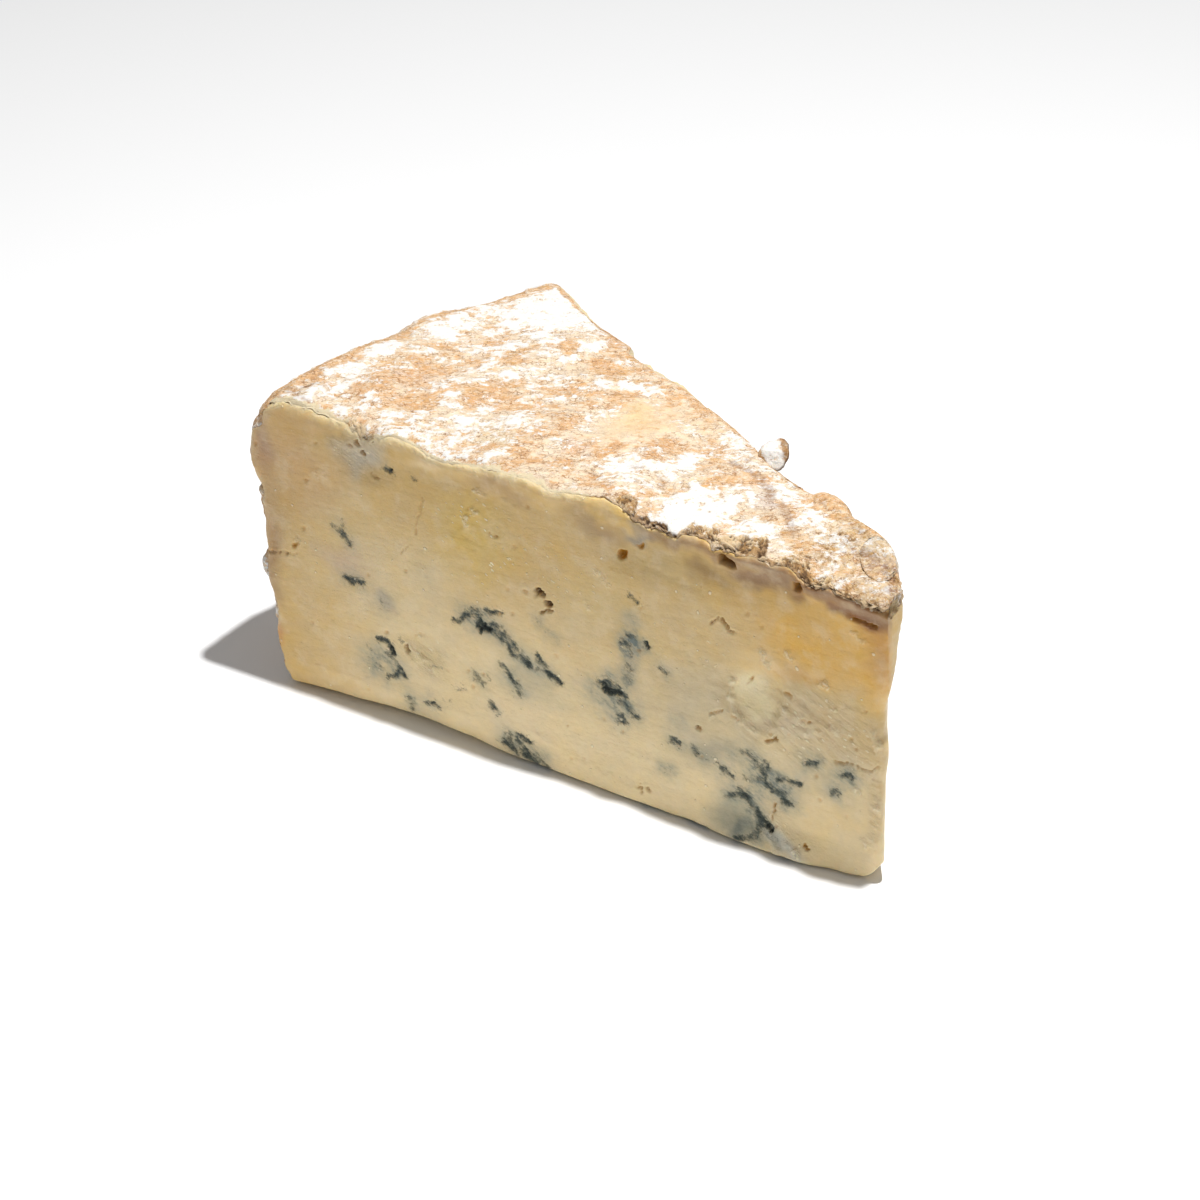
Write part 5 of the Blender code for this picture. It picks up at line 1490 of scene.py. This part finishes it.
def rindMaterial():
    material, tree, shader, space = startMaterial("cheeseRind")
    combed = mapped(tree, space, turn=(0, 0, -rind["streakTurn"]))
    drawn = mapped(tree, combed, (0.6, 1.0, 1.0))
    notSmooth = maths(tree, "SUBTRACT", 1.0, maskOf(tree, "smooth"))
    ragged = maths(tree, "MULTIPLY_ADD", notSmooth, 0.75, 0.25)
    shade = useGroup(tree, "mottle", {
        "Space": drawn, "Color": maskOf(tree, "tint", "Color"),
        "Patch Scale": 0.5, "Fine Scale": 2.4, "Amount": 0.12,
    })

    # the orange skin
    orange = useGroup(tree, "brokenEdge", {
        "Space": drawn, "Mask": maskOf(tree, "orange"),
        "Roughness": 2.6, "Grain Scale": 1.1, "Softness": 0.36,
    })
    deeper = remap(tree, noiseAt(tree, drawn, 1.1, 5.0, 0.72), 0.46, 0.66)
    deepMask = times(tree, maskOf(tree, "deep"), 0.6)
    deepShare = maths(tree, "MULTIPLY_ADD", deeper, 0.6, deepMask, clamp=True)
    orangeTone = mixed(tree, deepShare, rind["orange"], rind["deepOrange"])
    colour = mixed(tree, times(tree, orange, 0.85), shade, orangeTone)
    ochre = remap(tree, noiseAt(tree, drawn, 0.6, 4.0, 0.7), 0.54, 0.66)
    colour = mixed(tree, times(tree, ochre, times(tree, orange, 0.5)), colour, rind["ochre"])

    # pale grain all over it, with fine lines between the grains
    lace = useGroup(tree, "lace", {"Space": drawn, "Scale": 1.9, "Share": 0.62}, True)
    fineLace = useGroup(tree, "lace", {"Space": combed, "Scale": 3.6, "Share": 0.5}, True)
    milky = remap(tree, noiseAt(tree, drawn, 1.6, 6.0, 0.78), 0.44, 0.6)
    grains = maths(tree, "MAXIMUM", lace["Grain"], times(tree, fineLace["Grain"], 0.8))
    grainMix = times(tree, grains, maths(tree, "MULTIPLY_ADD", milky, 0.6, 0.3))
    colour = mixed(tree, times(tree, grainMix, times(tree, ragged, 0.85)), colour, rind["cream"])
    sparkle = remap(tree, noiseAt(tree, drawn, 2.6, 5.0, 0.8), 0.57, 0.66)
    colour = mixed(tree, times(tree, sparkle, times(tree, notSmooth, 0.75)), colour, rind["white"])
    lines = maths(tree, "MAXIMUM", lace["Line"], times(tree, fineLace["Line"], 0.6))

    # white mould
    halo = shaken(tree, maskOf(tree, "white"), 2.4, noiseAt(tree, drawn, 0.9, 6.0, 0.75))
    halo = remap(tree, halo, 0.1, 0.7)
    colour = mixed(tree, times(tree, halo, 0.5), colour, rind["cream"])
    broken = useGroup(tree, "brokenEdge", {
        "Space": drawn, "Mask": maskOf(tree, "white"),
        "Roughness": 2.6, "Grain Scale": 1.5, "Softness": 0.22,
    }, True)
    white, outline = broken["Mask"], broken["Outline"]
    inner = remap(tree, noiseAt(tree, drawn, 1.9, 6.0, 0.75), 0.56, 0.7)
    whiteTone = mixed(tree, times(tree, inner, 0.5), rind["white"], rind["shade"])
    colour = mixed(tree, times(tree, white, 0.97), colour, whiteTone)
    lines = times(tree, lines, maths(tree, "SUBTRACT", 1.0, times(tree, white, 0.8)))
    outlined = times(tree, outline, remap(tree, noiseAt(tree, space, 0.9, 3.0), 0.5, 0.6))
    lines = maths(tree, "MAXIMUM", lines, outlined)
    colour = mixed(tree, times(tree, times(tree, lines, ragged), 0.8), colour, rind["brown"])
    patchy = remap(tree, noiseAt(tree, space, 1.6, 5.0, 0.75), 0.34, 0.58, 0.2, 0.9)
    colour = mixed(tree, times(tree, maskOf(tree, "brown"), patchy), colour, rind["brown"])
    edge = shaken(tree, maskOf(tree, "edge"), 2.4, noiseAt(tree, space, 1.2, 5.0, 0.75))
    colour = mixed(tree, remap(tree, edge, 0.35, 0.65), colour, rind["edge"])

    # the crumbly crust, a tone for each crumb
    crust = maskOf(tree, "crust")
    grit = noiseAt(tree, space, 1.5, 6.0, 0.78)
    crumb = shaken(tree, maskOf(tree, "crumb"), 1.6, grit)
    crustTone = mixed(tree, remap(tree, crumb, 0.15, 0.42), rind["crustDark"], rind["crust"])
    crustTone = mixed(tree, remap(tree, crumb, 0.5, 0.75), crustTone, rind["crustPale"])
    ochre = remap(tree, noiseAt(tree, space, 0.8, 4.0, 0.7), 0.54, 0.66)
    crustTone = mixed(tree, times(tree, ochre, 0.6), crustTone, rind["ochre"])
    crustTone = mixed(tree, times(tree, maskOf(tree, "under"), 0.8), crustTone, rind["under"])
    dusted = times(tree, remap(tree, noiseAt(tree, space, 1.3, 6.0, 0.8), 0.55, 0.64), 0.7)
    crustTone = mixed(tree, times(tree, dusted, remap(tree, crumb, 0.3, 0.6)), crustTone, rind["white"])
    crustMix = shaken(tree, crust, 1.8, noiseAt(tree, space, 1.1, 5.0, 0.75))
    colour = mixed(tree, remap(tree, crustMix, 0.35, 0.65, 0.0, 0.95), colour, crustTone)
    # painted shade in the crust's creases between crumbs
    creviceShadeMix = times(tree, maskOf(tree, "creviceShade"), remap(tree, grit, 0.36, 0.56, 0.3, 0.95))
    colour = mixed(tree, creviceShadeMix, colour, rind["creviceShadeTone"])

    rough = remap(tree, noiseAt(tree, space, 1.0, 3.0), 0.3, 0.7, 0.66, 0.9)
    height = times(tree, noiseAt(tree, space, 2.8, 6.0, 0.75), times(tree, ragged, 0.8))
    height = maths(tree, "MULTIPLY_ADD", grainMix, 0.5, height)
    height = maths(tree, "MULTIPLY_ADD", white, 0.3, height)
    height = maths(tree, "MULTIPLY_ADD", sparkle, times(tree, notSmooth, 0.25), height)
    height = maths(tree, "MULTIPLY_ADD", lines, -0.35, height)
    height = maths(tree, "MULTIPLY_ADD", times(tree, crust, grit), 1.4, height)
    bump = addNode(tree, "Bump", {"Height": height, "Strength": 0.5, "Distance": 0.0005})
    fill(shader, {
        "Base Color": colour, "Roughness": rough, "Normal": bump.outputs[0], "Specular IOR Level": 0.25,
        "Subsurface Weight": 0.08, "Subsurface Radius": (1.0, 0.6, 0.35), "Subsurface Scale": 0.001,
    })
    return material


rindMade = rindMaterial()
rindPiece = buildRind(rindMade)
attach(rindPiece, "root")
print("rind made,", len(rindPiece.data.polygons), "quads")


# flake: a curled scrap of rind that stands on the back edge
flake = {
    "centre": (-36.4, 12.2, 46.5),
    "facing": (0.46, -0.42, 0.78),
    "outline": [  # turn round the middle in degrees, reach in mm
        (0, 2.0), (40, 2.25), (65, 2.4), (95, 2.0), (140, 2.1), (180, 2.1), (215, 2.0), (250, 2.1),
        (290, 2.3), (325, 2.0), (360, 2.0),
    ],
    "bulge": 0.9,
    "thickness": 0.8,
    "rings": 26,
    "spokes": 72,
}


def buildFlake(material):
    outward = Vector(flake["facing"]).normalized()
    side = Vector((0, 0, 1)).cross(outward).normalized()
    upward = outward.cross(side)
    side, upward, outward = (np.array(way) for way in (side, upward, outward))
    rings, spokes = flake["rings"], flake["spokes"]
    spoke = np.arange(spokes) / spokes * 360.0
    outline = readProfile(flake["outline"], spoke)
    turnRound = np.radians(spoke)
    circle = np.cos(turnRound)[:, None] * side + np.sin(turnRound)[:, None] * upward
    outline = outline * (1 + 0.10 * layeredNoise(circle * 1.6, 0.7, 401, 3))
    # the right-hand part curls towards the light and is brown, the rest is white
    toRight = np.cos(turnRound - math.radians(15))
    layers, white, brown, dark = [], [], [], []
    for isBack in (False, True):
        for ring in range(rings):
            share = (rings - 1 - ring if isBack else ring) / (rings - 1)
            place = circle * (outline * max(share, 0.01))[:, None]
            rise = flake["bulge"] * (1 - share ** 2) + 0.7 * easeIn(share * toRight, 0.45, 0.9)
            fall = flake["thickness"] * (1 - 0.6 * share ** 2) if isBack else 0
            rough = 0.12 * layeredNoise(place + (9.0 if isBack else 0), 0.8, 411, 3) * (1 - share ** 4)
            layers.append(np.array(flake["centre"]) + place + outward * (rise - fall + rough)[:, None])
            shadeRight = easeIn(share * toRight, 0.3, 0.7)
            foot = easeIn(share * np.cos(turnRound - math.radians(205)), 0.62, 0.85)
            white.append((1 - shadeRight) * (1 - foot) * (0.0 if isBack else 0.9))
            browner = 0.5 * easeIn(share, 0.92, 0.98) + (0.4 if isBack else 0.0)
            brown.append(np.clip(shadeRight * 0.55 + 0.6 * foot + browner, 0, 1))
            # painted shade along the flake's right and lower rim, stored in the crease shade mask
            dark.append(0.8 * easeIn(share, 0.88, 0.97) * (np.sin(turnRound - math.radians(50)) < 0.1))
    points = np.concatenate(layers)
    count = len(layers)
    ids = np.arange(count * spokes).reshape(count, spokes)
    nextIds = np.roll(ids, -1, axis=1)
    quads = np.stack([ids[:-1], ids[1:], nextIds[1:], nextIds[:-1]], axis=-1).reshape(-1, 4)
    faces = np.concatenate([quads[:, [0, 1, 2]], quads[:, [0, 2, 3]]])
    caps = []
    for row, flip in ((0, 1), (count - 1, -1)):
        fan = np.stack([np.full(spokes - 2, ids[row, 0]), ids[row, 1:-1], ids[row, 2:]], axis=1)
        caps.append(fan[:, ::flip])
    faces = np.concatenate([faces, *caps])
    middle = points - points.mean(axis=0)
    first, second, third = (middle[faces[:, corner]] for corner in range(3))
    if (first * np.cross(second, third)).sum() < 0:
        faces = faces[:, ::-1]
    white, brown, dark = (np.concatenate(values) for values in (white, brown, dark))
    blank = np.zeros(len(points))
    masks = {
        "white": white, "orange": blank + 0.45, "deep": blank + 0.2, "brown": brown, "creviceShade": dark,
        "crust": blank, "crumb": blank, "smooth": blank, "edge": blank, "under": blank,
    }
    tint = np.tile(np.array(rind["tan"]), (len(points), 1))
    return makePiece("rindFlake", insideCad(points), faces, material, masks, None, {"tint": tint})


flakePiece = buildFlake(rindMade)
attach(flakePiece, "root")
print("flake made")


# floor, light and camera
studio = {
    "floorTone": tone(247, 247, 247),
    "skyStrength": 0.28,
    "lampPlace": np.array([15.0, 15.0, 500.0]),
    "lampRadius": 0.009,
    "lampPower": 10.9,
}
view = {
    "azimuth": math.radians(48.3),
    "elevation": math.radians(30.2),
    "distance": 600.0,
    "lookAt": np.array([-59.5, 1.6, 18.0]),
    "lens": 129.4,
}


def buildStudio():
    bpy.ops.mesh.primitive_plane_add(size=6.0, location=(0, 0, 0))
    floor = bpy.context.active_object
    floor.name = "floor"
    material = bpy.data.materials.new("paleFloor")
    material.use_nodes = True
    shader = material.node_tree.nodes["Principled BSDF"]
    shader.inputs["Base Color"].default_value = studio["floorTone"]
    shader.inputs["Roughness"].default_value = 0.9
    shader.inputs["Specular IOR Level"].default_value = 0.1
    floor.data.materials.append(material)
    world = bpy.data.worlds.new("softRoom")
    world.use_nodes = True
    background = world.node_tree.nodes["Background"]
    background.inputs["Color"].default_value = (1.0, 1.0, 1.0, 1.0)
    background.inputs["Strength"].default_value = studio["skyStrength"]
    bpy.context.scene.world = world
    key = bpy.data.lights.new("key", "POINT")
    key.energy = studio["lampPower"]
    key.shadow_soft_size = studio["lampRadius"]
    lamp = bpy.data.objects.new("key", key)
    lamp.location = Vector((studio["lampPlace"] + drumAxis) * metresPerMm)
    bpy.context.scene.collection.objects.link(lamp)


def buildCamera():
    lens = bpy.data.cameras.new("camera")
    lens.lens = view["lens"]
    lens.sensor_width = 36.0
    lens.clip_start = 0.01
    camera = bpy.data.objects.new("camera", lens)
    toward = Vector((
        math.sin(view["azimuth"]) * math.cos(view["elevation"]),
        -math.cos(view["azimuth"]) * math.cos(view["elevation"]),
        math.sin(view["elevation"]),
    ))
    target = Vector((view["lookAt"] + drumAxis) * metresPerMm)
    camera.location = target + toward * view["distance"] * metresPerMm
    camera.rotation_euler = toward.to_track_quat("Z", "Y").to_euler()
    bpy.context.scene.collection.objects.link(camera)
    bpy.context.scene.camera = camera


buildStudio()
buildCamera()
bpy.context.scene.view_settings.view_transform = "Standard"
print("studio ready")
